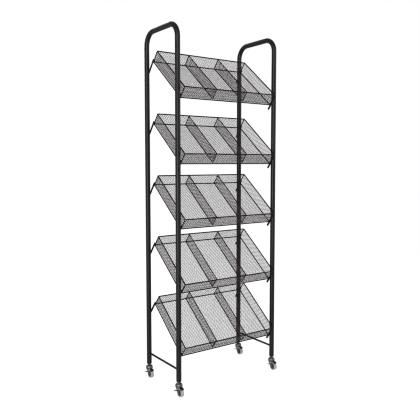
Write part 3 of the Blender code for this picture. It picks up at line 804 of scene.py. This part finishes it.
def basket_straps():
    """The four hook straps of a basket, with a lump of weld on either side of each rod they cross."""
    parts = []
    for side in SIDES.values():
        parts.append(hook_strap(side, 0.0, -STRAP_BELOW_FRONT_CORNER,
                                front_stud_up_wall + STRAP_ABOVE_FRONT_STUD, front_stud_up_wall))
        parts.append(hook_strap(side, floor_depth, -rear_stud_below - STRAP_BELOW_REAR_STUD,
                                STRAP_ABOVE_REAR_CORNER, -rear_stud_below))
        for along in (0.0, floor_depth):
            for edge in (-1, 1):
                spot = (side * strap_inner_x, along + edge * STRAP_WIDTH / 2, -STRAP_LUMP_BELOW)
                parts.append(weld_lump(spot, STRAP_LUMP_RADIUS, len(parts)))
    return parts


rods_mesh = joined([basket_rings(), basket_uprights()] + corner_lumps() + basket_straps())
print("rods and straps of a basket:", len(rods_mesh.polygons), "faces")

# %% [markdown]
# ## Diamond mesh
#
# The floor and the walls are one piece of diamond mesh, about ten millimetres from point to point,
# cut as a cross and folded up into a tray. A texture with holes would look flat from near by, so
# the mesh is real geometry. The trick is a grid of half-diamond squares: each square holds one
# slanted strand, and neighbouring squares slant the other way. Corners of strands that fall within
# a hundredth of a millimetre are made one.

# %% A net of strands
DIAMOND_LENGTH = 0.0106
TRAY_STRAND = 0.00135
DIVIDER_STRAND = 0.0015
STRAND_THICKNESS = 0.0006
SAME_SPOT = 0.00001


def half_steps(length):
    """How many half diamonds fill a length, always an even number."""
    return 2 * round(length / DIAMOND_LENGTH)


def strand_corners(column, row, share):
    """The hexagon of the strand in one square of the grid, in grid steps."""
    if (column + row) % 2 == 0:
        return [(column + 1, row), (column + 1, row + share), (column + share, row + 1),
                (column, row + 1), (column, row + 1 - share), (column + 1 - share, row)]
    return [(column, row), (column + share, row), (column + 1, row + 1 - share),
            (column + 1, row + 1), (column + 1 - share, row + 1), (column, row + share)]


def net_mesh(squares, step, strand, place):
    """A thick net of (column, row) squares. step and strand are widths, place folds the grid."""
    share = strand / step / math.sqrt(2)
    spots = []
    for column, row in squares:
        spots += [place(*corner) for corner in strand_corners(column, row, share)]
    keys = np.round(np.array(spots) / SAME_SPOT).astype(np.int64)
    first, where = np.unique(keys, axis=0, return_index=True, return_inverse=True)[1:]
    hexagons = where.reshape(-1, 6)
    flat = bpy.data.meshes.new("net")
    flat.from_pydata([spots[index] for index in first], [], hexagons.tolist())
    shape = bmesh.new()
    shape.from_mesh(flat)
    bpy.data.meshes.remove(flat)
    return worked(shell(shape),
                  ("SOLIDIFY", {"thickness": STRAND_THICKNESS, "offset": 0.0, "use_even_offset": True}))


print(f"strands {TRAY_STRAND * 1000:.2f} mm wide in the trays, {DIVIDER_STRAND * 1000:.2f} in the dividers")

# %% [markdown]
# The cross is folded along grid lines, through the crossings, so no strand is bent in its middle.
# Squares beyond the floor's edge climb up a wall, one step for each column or row that they are out.

# %% The tray: a cross of net, folded
WALL_STEPS = 11
NET_BITE = 0.0001

sheet_plane = RIM_ROD / 2 + STRAND_THICKNESS / 2 - NET_BITE
tray_half_width = basket_end_x - sheet_plane
tray_depth = floor_depth - 2 * sheet_plane
columns = half_steps(2 * tray_half_width)
rows = half_steps(tray_depth)
column_step = 2 * tray_half_width / columns
row_step = tray_depth / rows
wall_step = (WALL_HEIGHT - sheet_plane) / WALL_STEPS


def on_tray(column, row):
    """A grid point of the folded cross, in the basket's coordinates."""
    rise = max(0, -column, column - columns, -row, row - rows)
    x = -tray_half_width + min(max(column, 0), columns) * column_step
    y = sheet_plane + min(max(row, 0), rows) * row_step
    return (x, y, sheet_plane + rise * wall_step)


tray_squares = []
for column in range(-WALL_STEPS, columns + WALL_STEPS):
    for row in range(-WALL_STEPS, rows + WALL_STEPS):
        over_floor = 0 <= column < columns
        beside_floor = 0 <= row < rows
        if over_floor or beside_floor:
            tray_squares.append((column, row))
tray_mesh = net_mesh(tray_squares, column_step, TRAY_STRAND, on_tray)
print(f"tray net: {columns} by {rows} half diamonds of {column_step * 1000:.2f}"
      f" and {row_step * 1000:.2f} mm,", len(tray_mesh.polygons), "faces")

# %% [markdown]
# ## Dividers
#
# Two dividers split a basket into three compartments. Each is a loop of 4 mm rod filled with the
# same net, standing on the floor between the front and the rear wall. Loop and net are two pieces,
# because they have different coats.

# %% Divider loop and net
DIVIDER_BITE = 0.0002
LOOP_BEND = 0.0025
LOOP_LUMP_RADIUS = 0.0024
LOOP_LUMP_INSET = 0.0045
LOOP_LUMP_BELOW = 0.0004

divider_radius = DIVIDER_ROD / 2
divider_near = RIM_ROD / 2 + divider_radius - DIVIDER_BITE
divider_far = floor_depth - divider_near
divider_low = sheet_plane + STRAND_THICKNESS / 2 + divider_radius - DIVIDER_BITE
divider_columns = half_steps(divider_far - divider_near)
divider_step = (divider_far - divider_near) / divider_columns
divider_rise = (WALL_HEIGHT - divider_low) / WALL_STEPS


def on_divider(column, row):
    """A grid point of the divider's net, in the plane x = 0."""
    return (0.0, divider_near + column * divider_step, divider_low + row * divider_rise)


divider_squares = [(column, row) for column in range(divider_columns) for row in range(WALL_STEPS)]
divider_net = net_mesh(divider_squares, divider_step, DIVIDER_STRAND, on_divider)
loop_path = rounded_path([(0, divider_near, divider_low), (0, divider_far, divider_low),
                          (0, divider_far, WALL_HEIGHT), (0, divider_near, WALL_HEIGHT)], LOOP_BEND)
loop_parts = [bars([loop_path], divider_radius + WIRE_COAT, closed=True, sides=16)]
for along in (LOOP_LUMP_INSET, floor_depth - LOOP_LUMP_INSET):
    loop_parts.append(weld_lump((0, along, WALL_HEIGHT - LOOP_LUMP_BELOW), LOOP_LUMP_RADIUS, len(loop_parts)))
divider_loop = joined(loop_parts)
print("divider: net of", len(divider_net.polygons), "faces, loop of", len(divider_loop.polygons))

# %% [markdown]
# All five baskets are alike, so they share these meshes, and only their places and bodies differ.

# %% Five baskets
for number, place in basket_places.items():
    body = f"basket_{number}"
    piece(f"{body}_rods", rods_mesh, wire_coat, body, [f"{body}_wire_frame"], place)
    piece(f"{body}_net", tray_mesh, mesh_coat_and_sheen, body, [f"{body}_mesh_tray"], place)
    for divider, side in ((1, -1), (2, 1)):
        spot = place @ Matrix.Translation((side * compartment / 2, 0, 0))
        for word, mesh, coat in (("loop", divider_loop, wire_coat), ("net", divider_net, mesh_coat_and_sheen)):
            piece(f"{body}_partition_{divider}_{word}", mesh, coat, body,
                  [f"{body}_divider_{divider}"], spot)
print("five baskets,", len(made_pieces), "pieces so far")

# %% [markdown]
# ## Casters
#
# A caster is drawn once, in coordinates of its own: the swivel axis is x = y = 0 and the floor is
# z = 0, with the wheel trailing towards the front. The four casters share its meshes.

# %% Caster sizes
FORK_WALL = 0.0018
FORK_SIDE_GAP = 0.0008
CROWN_HEIGHT = 0.0195
STEM_DIAMETER = 0.010

foot = post_axis["front_left"]
tyre_low, tyre_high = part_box("front_left_tyre")
wheel_radius = (tyre_high.z - tyre_low.z) / 2
tread_half = (tyre_high.x - tyre_low.x) / 2
axle_z = middle_of("front_left_axle").z
axle_y = middle_of("front_left_axle").y - foot.y
crown_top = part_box("front_left_fork")[1].z
crown_bottom = crown_top - CROWN_HEIGHT
leg_inner = tread_half + FORK_SIDE_GAP
leg_outer = leg_inner + FORK_WALL
stem_radius = STEM_DIAMETER / 2
stem_hole = stem_radius + SEAT_GAP


def along_x(mesh, y=axle_y, z=axle_z):
    """Lays a shape that was turned about Z along X, at the axle or at another place."""
    return moved(moved(mesh, Matrix.Rotation(math.pi / 2, 4, "Y")), Matrix.Translation((0, y, z)))


print(f"wheel radius {wheel_radius:.4f}, trail {axle_y:.4f}, crown {crown_bottom:.4f} to {crown_top:.4f}")

# %% [markdown]
# The plug is a black moulding with a rounded lip under the tube's end and a shank inside it. Both
# are one profile, spun into a ring.

# %% Plug
PLUG_LIP_HEIGHT = 0.0045
PLUG_SHANK = 0.018
PLUG_EDGE = 0.0035

plug_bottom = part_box("front_left_plug")[0].z
lip_top = plug_bottom + PLUG_LIP_HEIGHT - SEAT_GAP
shank_radius = tube_radius - TUBE_WALL - SEAT_GAP
plug_profile = [(stem_hole, plug_bottom)]
plug_profile += arc((tube_radius - PLUG_EDGE, plug_bottom + PLUG_EDGE), PLUG_EDGE, -90, 0, 8)
plug_profile += [(tube_radius, lip_top), (shank_radius, lip_top), (shank_radius, lip_top + PLUG_SHANK),
                 (stem_hole, lip_top + PLUG_SHANK)]
plug_mesh = turned(plug_profile)
print("plug:", len(plug_mesh.polygons), "faces")

# %% [markdown]
# The stem is a plated pin through the plug. Its riveted head holds the fork from below, and a thin
# locking collar sits on the crown.

# %% Stem
STEM_HEAD_DIAMETER = 0.014
HEAD_CHAMFER_WIDTH = 0.0008
HEAD_CHAMFER_HEIGHT = 0.0006
COLLAR_PROUD = 0.0009
COLLAR_HEIGHT = 0.0027
COLLAR_CHAMFER = 0.0005
STEM_TIP_CHAMFER = 0.001

stem_low, stem_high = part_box("front_left_stem")
stem_head = STEM_HEAD_DIAMETER / 2
head_top = crown_bottom - SEAT_GAP
collar = stem_radius + COLLAR_PROUD
collar_low = crown_top + SEAT_GAP
collar_top = crown_top + COLLAR_HEIGHT
stem_profile = [(0.0, stem_low.z), (stem_head - HEAD_CHAMFER_WIDTH, stem_low.z),
                (stem_head, stem_low.z + HEAD_CHAMFER_HEIGHT), (stem_head, head_top), (stem_radius, head_top),
                (stem_radius, collar_low), (collar, collar_low), (collar, collar_top - COLLAR_CHAMFER),
                (collar - COLLAR_CHAMFER, collar_top), (stem_radius, collar_top),
                (stem_radius, stem_high.z - STEM_TIP_CHAMFER),
                (stem_radius - STEM_TIP_CHAMFER, stem_high.z), (0.0, stem_high.z)]
stem_mesh = turned(stem_profile)
print("stem:", len(stem_mesh.polygons), "faces")

# %% [markdown]
# The fork is pressed from sheet: a yoke whose two legs taper down to the axle, under a domed crown
# over the ball race. The yoke is a folded strip cut to the side view: a Boolean keeps what the
# strip's section and the side view have in common.

# %% Fork yoke
FORK_EYE_RADIUS = 0.0065
FORK_LEG_TOP_WIDTH = 0.026
FORK_LEG_STRAIGHT = 0.007
FORK_EDGE = 0.0004
FORK_EYE_START = 170
FORK_EYE_END = 310
YOKE_BEND = 0.0032
STRIP_REACH = 0.02
SIDE_VIEW_REACH = 0.03


def yoke():
    """The folded strip with two tapering legs."""
    strip_top = crown_bottom + FORK_WALL
    section = []
    for reach, top, corner in ((leg_outer, strip_top, YOKE_BEND),
                               (leg_inner, strip_top - FORK_WALL, YOKE_BEND - FORK_WALL)):
        run = [(-reach, 0.0)] + arc((-reach + corner, top - corner), corner, 180, 90, 6)
        run += arc((reach - corner, top - corner), corner, 90, 0, 6) + [(reach, 0.0)]
        section.append(run)
    strip = moved(pushed(section[0] + section[1][::-1], -STRIP_REACH, STRIP_REACH),
                  Matrix.Rotation(math.pi / 2, 4, "Z"))
    top_half = FORK_LEG_TOP_WIDTH / 2
    side_view = [(top_half, strip_top + CUT_MARGIN), (-top_half, strip_top + CUT_MARGIN)]
    side_view += arc((axle_y, axle_z), FORK_EYE_RADIUS, FORK_EYE_START, FORK_EYE_END, 16)
    side_view += [(top_half, crown_bottom - FORK_LEG_STRAIGHT)]
    return cut(strip, "INTERSECT", pushed(side_view, -SIDE_VIEW_REACH, SIDE_VIEW_REACH),
               broken_edges(FORK_EDGE))


yoke_mesh = yoke()
print("yoke:", len(yoke_mesh.polygons), "faces")

# %% [markdown]
# The crown is a quarter of an ellipse, spun. A groove round its rim is the dark gap that shows where
# the ball race runs.

# %% Fork crown
CROWN_DIAMETER = 0.036
CROWN_RIM_HEIGHT = 0.0075
CROWN_NECK = 0.0075
CROWN_EDGE = 0.0006
RACE_LOW = 0.0036
RACE_HIGH = 0.0055
RACE_DEPTH = 0.0012
RACE_CHAMFER = 0.0005
DOME_BELOW_TOP = 0.0012
DOME_STEPS = 9
NECK_ROUND = ((0.0004, 0.0003), (0.0008, 0.0))


def crown():
    """The domed crown, with the gap of the ball race round it."""
    rim = CROWN_DIAMETER / 2
    groove = rim - RACE_DEPTH
    dome_low = crown_bottom + CROWN_RIM_HEIGHT
    dome_high = crown_top - DOME_BELOW_TOP
    profile = [(stem_hole, crown_bottom), (rim - CROWN_EDGE, crown_bottom), (rim, crown_bottom + CROWN_EDGE),
               (rim, crown_bottom + RACE_LOW), (groove, crown_bottom + RACE_LOW + RACE_CHAMFER),
               (groove, crown_bottom + RACE_HIGH - RACE_CHAMFER), (rim, crown_bottom + RACE_HIGH)]
    for step in range(DOME_STEPS + 1):
        turn = math.pi / 2 * (1 - step / DOME_STEPS)
        profile.append((CROWN_NECK + (rim - CROWN_NECK) * math.sin(turn),
                        dome_low + (dome_high - dome_low) * math.cos(turn)))
    profile += [(CROWN_NECK - inward, crown_top - below) for inward, below in NECK_ROUND]
    profile += [(stem_hole, crown_top)]
    return turned(profile, 64)


fork_mesh = joined([crown(), yoke_mesh])
print("fork:", len(fork_mesh.polygons), "faces")

# %% [markdown]
# The axle is a bolt with a hexagonal head and nut. On a real nut a cone takes off the corners, and a
# Boolean does the same here.

# %% Axle bolt
NUT_ACROSS = 0.010
NUT_HEIGHT = 0.004
NUT_CHAMFER_SHARE = 0.6
NUT_INSET = 0.001
AXLE_DIAMETER = 0.006
BOLT_INSET = 0.0002
BOLT_CHAMFER = 0.0006

nut_corner = NUT_ACROSS / 2 / math.cos(math.pi / 6)
nut_outer = foot.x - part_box("front_left_axle")[0].x
nut_inner = nut_outer - NUT_HEIGHT


def nut(low, high):
    """A hexagon nut about Z, its corners chamfered by a cone."""
    hexagon = turned([(0.0, low), (nut_corner, low), (nut_corner, high), (0.0, high)], 6)
    flat = NUT_ACROSS / 2
    slant = (nut_corner - flat) * NUT_CHAMFER_SHARE
    cone = turned([(0.0, low), (flat, low), (nut_corner, low + slant), (nut_corner, high - slant),
                   (flat, high), (0.0, high)], 48)
    return cut(hexagon, "INTERSECT", cone)


bolt_radius = AXLE_DIAMETER / 2
bolt_low = -nut_outer + BOLT_INSET
bolt_profile = [(0.0, bolt_low), (bolt_radius - BOLT_CHAMFER, bolt_low),
                (bolt_radius, bolt_low + BOLT_CHAMFER), (bolt_radius, nut_inner), (0.0, nut_inner)]
axle_mesh = joined([along_x(turned(bolt_profile, 32)), along_x(nut(-nut_outer + NUT_INSET, -nut_inner)),
                    along_x(nut(nut_inner, nut_outer))])
print("axle bolt:", len(axle_mesh.polygons), "faces")

# %% [markdown]
# The wheel is a dark core with a boss, a recessed web and a rim. Six thin ribs stand in the recess
# on each side, as on a real moulding, where they stiffen the web.

# %% Wheel core
TYRE_DEPTH = 0.0047
HUB_BOSS = 0.006
HUB_EDGE = 0.0004
WEB_INSET = 0.003
WEB_DRAFT = 0.0003
RIBS = 6
RIB_HALF_THICKNESS = 0.0005
RIB_BELOW_FACE = 0.0008
RIB_IN_WEB = 0.001
RIB_IN_RIM = 0.0004


def wheel_core():
    """Bore, boss, recessed web and rim, with ribs in the recess on both sides."""
    bore = bolt_radius + SEAT_GAP
    rim_outer = wheel_radius - TYRE_DEPTH - SEAT_GAP
    rim_inner = rim_outer - TYRE_DEPTH / 2
    web = tread_half - WEB_INSET
    rim_face = tread_half - SEAT_GAP
    side = [(bore, tread_half), (HUB_BOSS - HUB_EDGE, tread_half), (HUB_BOSS, tread_half - HUB_EDGE),
            (HUB_BOSS + WEB_DRAFT, web), (rim_inner - WEB_DRAFT, web),
            (rim_inner, rim_face - HUB_EDGE), (rim_inner + HUB_EDGE, rim_face), (rim_outer, rim_face)]
    parts = [turned(side + [(radius, -height) for radius, height in reversed(side)], 64)]
    thick = RIB_HALF_THICKNESS
    for index in range(RIBS):
        for face in (-1, 1):
            low, high = sorted((face * (web - RIB_IN_WEB), face * (tread_half - RIB_BELOW_FACE)))
            rib = pushed([(-thick, low), (thick, low), (thick, high), (-thick, high)],
                         HUB_BOSS - RIB_IN_RIM, rim_inner + RIB_IN_RIM)
            parts.append(moved(rib, Matrix.Rotation(math.tau * index / RIBS, 4, "Z")))
    return along_x(joined(parts))


core_mesh = wheel_core()
print("wheel core:", len(core_mesh.polygons), "faces")

# %% [markdown]
# The grey tyre is pressed over the core. Its tread is a little higher in the middle, and an arc
# rounds each shoulder.

# %% Tyre
TYRE_SHOULDER = 0.0025
SHOULDER_START = 10
SHOULDER_END = 85
SHOULDER_BELOW_TREAD = 0.0003
SIDE_BELOW_TREAD = 0.0004
TREAD_DROP = 0.0001
TREAD_DROP_SHARE = 0.4


def tyre():
    """The tyre: a gently crowned tread with round shoulders."""
    centre = (tread_half - TYRE_SHOULDER, wheel_radius - TYRE_SHOULDER - SHOULDER_BELOW_TREAD)
    side = [(wheel_radius - TYRE_DEPTH, tread_half - SEAT_GAP),
            (wheel_radius - TYRE_SHOULDER - SIDE_BELOW_TREAD, tread_half)]
    shoulder = arc(centre, TYRE_SHOULDER, SHOULDER_START, SHOULDER_END, 7)
    side += [(radius, height) for height, radius in shoulder]
    side += [(wheel_radius - TREAD_DROP, tread_half * TREAD_DROP_SHARE)]
    other_side = [(radius, -height) for radius, height in reversed(side)]
    return along_x(turned(side + [(wheel_radius, 0.0)] + other_side, 72))


tyre_mesh = tyre()
print("tyre:", len(tyre_mesh.polygons), "faces")

# %% [markdown]
# ## Brake
#
# The brake is a plated lever on the left leg with a tab for the foot, and a black shoe that it
# presses on the tyre. The shoe lies on an arc about the axle. The lever's pivot is on the swivel
# axis, higher than the axle.

# %% Brake sizes
LEVER_THICKNESS = 0.0016
PIVOT_ABOVE_AXLE = 0.014
SHOE_GAP = 0.0026
SHOE_THICKNESS = 0.005
SHOE_START = 14.0
SHOE_END = 44.0

lever_inner = leg_outer + SEAT_GAP
lever_outer = lever_inner + LEVER_THICKNESS
pivot_z = axle_z + PIVOT_ABOVE_AXLE
shoe_middle = math.radians(90 + (SHOE_START + SHOE_END) / 2)
shoe_reach = wheel_radius + SHOE_GAP + SHOE_THICKNESS / 2
shoe_eye = (axle_y + shoe_reach * math.cos(shoe_middle), axle_z + shoe_reach * math.sin(shoe_middle))
print(f"brake pivot at {pivot_z:.4f}, shoe pin at y {shoe_eye[0]:.4f} and z {shoe_eye[1]:.4f}")

# %% [markdown]
# The lever's flat arm runs from the pivot to the shoe, with a riveted pin at either end. The pin at
# the shoe belongs to the shoe's piece.

# %% Lever arm and pins
LEVER_ARM = 0.0065
LEVER_EDGE = 0.0003
PIN_RADIUS = 0.0021
PIN_TOP_RADIUS = 0.0014
PIN_PROUD = 0.0006


def lever_arm():
    """The flat arm, round about the shoe's pin and about the pivot."""
    half_arm = LEVER_ARM / 2
    lean = math.degrees(math.atan2(shoe_eye[1] - pivot_z, shoe_eye[0]))
    outline = arc(shoe_eye, half_arm, lean - 90, lean + 90, 12)
    outline += arc((0.0, pivot_z), half_arm, lean + 90, lean + 270, 12)
    return worked(pushed(outline, -lever_outer, -lever_inner), broken_edges(LEVER_EDGE))


def pin(y, z):
    """A pin through arm and leg, with a riveted head."""
    profile = [(0.0, -lever_outer - PIN_PROUD), (PIN_TOP_RADIUS, -lever_outer - PIN_PROUD),
               (PIN_RADIUS, -lever_outer), (PIN_RADIUS, -leg_inner), (0.0, -leg_inner)]
    return along_x(turned(profile, 24), y, z)


arm_mesh = lever_arm()
print("lever arm:", len(arm_mesh.polygons), "faces")

# %% [markdown]
# The tab is a wedge that rises a little to its thin, rounded end. Its side view and its plan are
# both pushed through, and a Boolean keeps what they share. Three ribs on top follow the slope, so
# that a foot doesn't slip off.

# %% Lever tab
TAB_WIDTH = 0.011
TAB_LENGTH = 0.0205
TAB_CORNER = 0.004
TAB_TIP_THICKNESS = 0.0018
TAB_ABOVE_PIVOT = 0.0025
TAB_FALL = 0.0035
TAB_ABOVE_NUT = 0.0024
TAB_BEHIND_AXLE = 0.0028
TAB_IN_ARM = 0.001
GRIP_RIBS = 3
GRIP_RADIUS = 0.0004
GRIP_FROM_TIP = 0.004
GRIP_SPACING = 0.0035
GRIP_FROM_EDGE = 0.0025

tab_z = axle_z + nut_corner + TAB_ABOVE_NUT
tab_top = pivot_z + TAB_ABOVE_PIVOT
tab_tip = -lever_outer - TAB_LENGTH
tab_front = axle_y + TAB_BEHIND_AXLE
tab_rear = tab_front + TAB_WIDTH


def lever_tab():
    """The wedge under the foot, with a round end."""
    side_view = [(-lever_inner, tab_z), (-lever_inner, tab_top - TAB_FALL), (tab_tip, tab_top),
                 (tab_tip, tab_top - TAB_TIP_THICKNESS), (-lever_outer, tab_z)]
    wedge = moved(pushed([(-x, z) for x, z in side_view], tab_front, tab_rear),
                  Matrix.Rotation(math.pi / 2, 4, "Z"))
    plan = arc((tab_tip + TAB_CORNER, tab_rear - TAB_CORNER), TAB_CORNER, 90, 180, 6)
    plan += arc((tab_tip + TAB_CORNER, tab_front + TAB_CORNER), TAB_CORNER, 180, 270, 6)
    plan += [(-lever_inner + TAB_IN_ARM, tab_front), (-lever_inner + TAB_IN_ARM, tab_rear)]
    plan_view = moved(pushed([(y, -x) for x, y in plan], 0.0, 2 * pivot_z),
                      Matrix.Rotation(-math.pi / 2, 4, "Y"))
    return cut(wedge, "INTERSECT", plan_view, broken_edges(LEVER_EDGE))


def grip_ribs():
    """Thin bars across the top of the tab."""
    slope = TAB_FALL / (tab_tip + lever_inner)
    ribs = []
    for rib in range(GRIP_RIBS):
        along = GRIP_FROM_TIP + rib * GRIP_SPACING
        height = tab_top + along * slope
        ribs.append([(tab_tip + along, tab_front + GRIP_FROM_EDGE, height),
                     (tab_tip + along, tab_rear - GRIP_FROM_EDGE, height)])
    return bars(ribs, GRIP_RADIUS, sides=8)


lever_mesh = joined([arm_mesh, lever_tab(), grip_ribs(), pin(0.0, pivot_z)])
print("brake lever:", len(lever_mesh.polygons), "faces")

# %% [markdown]
# The shoe is moulded, so its edges are softer than the lever's.

# %% Brake shoe
SHOE_EDGE = 0.0008


def brake_shoe():
    """An arc over the front of the tyre, as wide as the fork on the lever's side."""
    inner = wheel_radius + SHOE_GAP
    outline = arc((axle_y, axle_z), inner, 90 + SHOE_START, 90 + SHOE_END, 10)
    outline += arc((axle_y, axle_z), inner + SHOE_THICKNESS, 90 + SHOE_END, 90 + SHOE_START, 10)
    return worked(pushed(outline, -leg_outer, tread_half),
                  broken_edges(SHOE_EDGE, segments=3, sharper_than=50))


shoe_mesh = joined([brake_shoe(), pin(*shoe_eye)])
print("brake shoe:", len(shoe_mesh.polygons), "faces")

# %% [markdown]
# ## Four casters
#
# Each row names the solid's node, the new piece, its mesh and its coat, the slot and the body that
# it rides on. Plug and stem stay with the frame, and the rest swivels, rolls or brakes.

# %% Four casters
CASTER_PARTS = (
    ("plug", "end_plug", plug_mesh, black_plastic, "black_plastic", "rack_frame"),
    ("stem", "king_pin", stem_mesh, fork_zinc, "zinc_plate", "rack_frame"),
    ("fork", "yoke", fork_mesh, fork_zinc, "zinc_plate", "caster"),
    ("axle", "axle_bolt", axle_mesh, fork_zinc, "zinc_plate", "caster"),
    ("wheel_core", "hub", core_mesh, core_plastic, "core_plastic", "wheel"),
    ("tyre", "tread", tyre_mesh, tyre_rubber, "tyre_rubber", "wheel"),
    ("brake_lever", "foot_lever", lever_mesh, zinc, "zinc_plate", "brake"),
    ("brake_shoe", "brake_block", shoe_mesh, black_plastic, "black_plastic", "brake"),
)
for corner in CORNERS:
    place = Matrix.Translation((post_axis[corner].x, post_axis[corner].y, 0.0))
    for node, word, mesh, material, slot, body in CASTER_PARTS:
        rides_on = body if body == "rack_frame" else f"{corner}_{body}"
        piece(f"{corner}_{word}", mesh, material, rides_on, [f"{corner}_{node}"], place)
print(len(made_pieces), "pieces in all")

# %% [markdown]
# ## Last checks
#
# The dressed rack must keep to the box of the imported solids. Only the fork crowns stand a third of
# a millimetre outside it, because they are round where the imported ones have flat facets.

# %% Finish
bpy.context.view_layer.update()
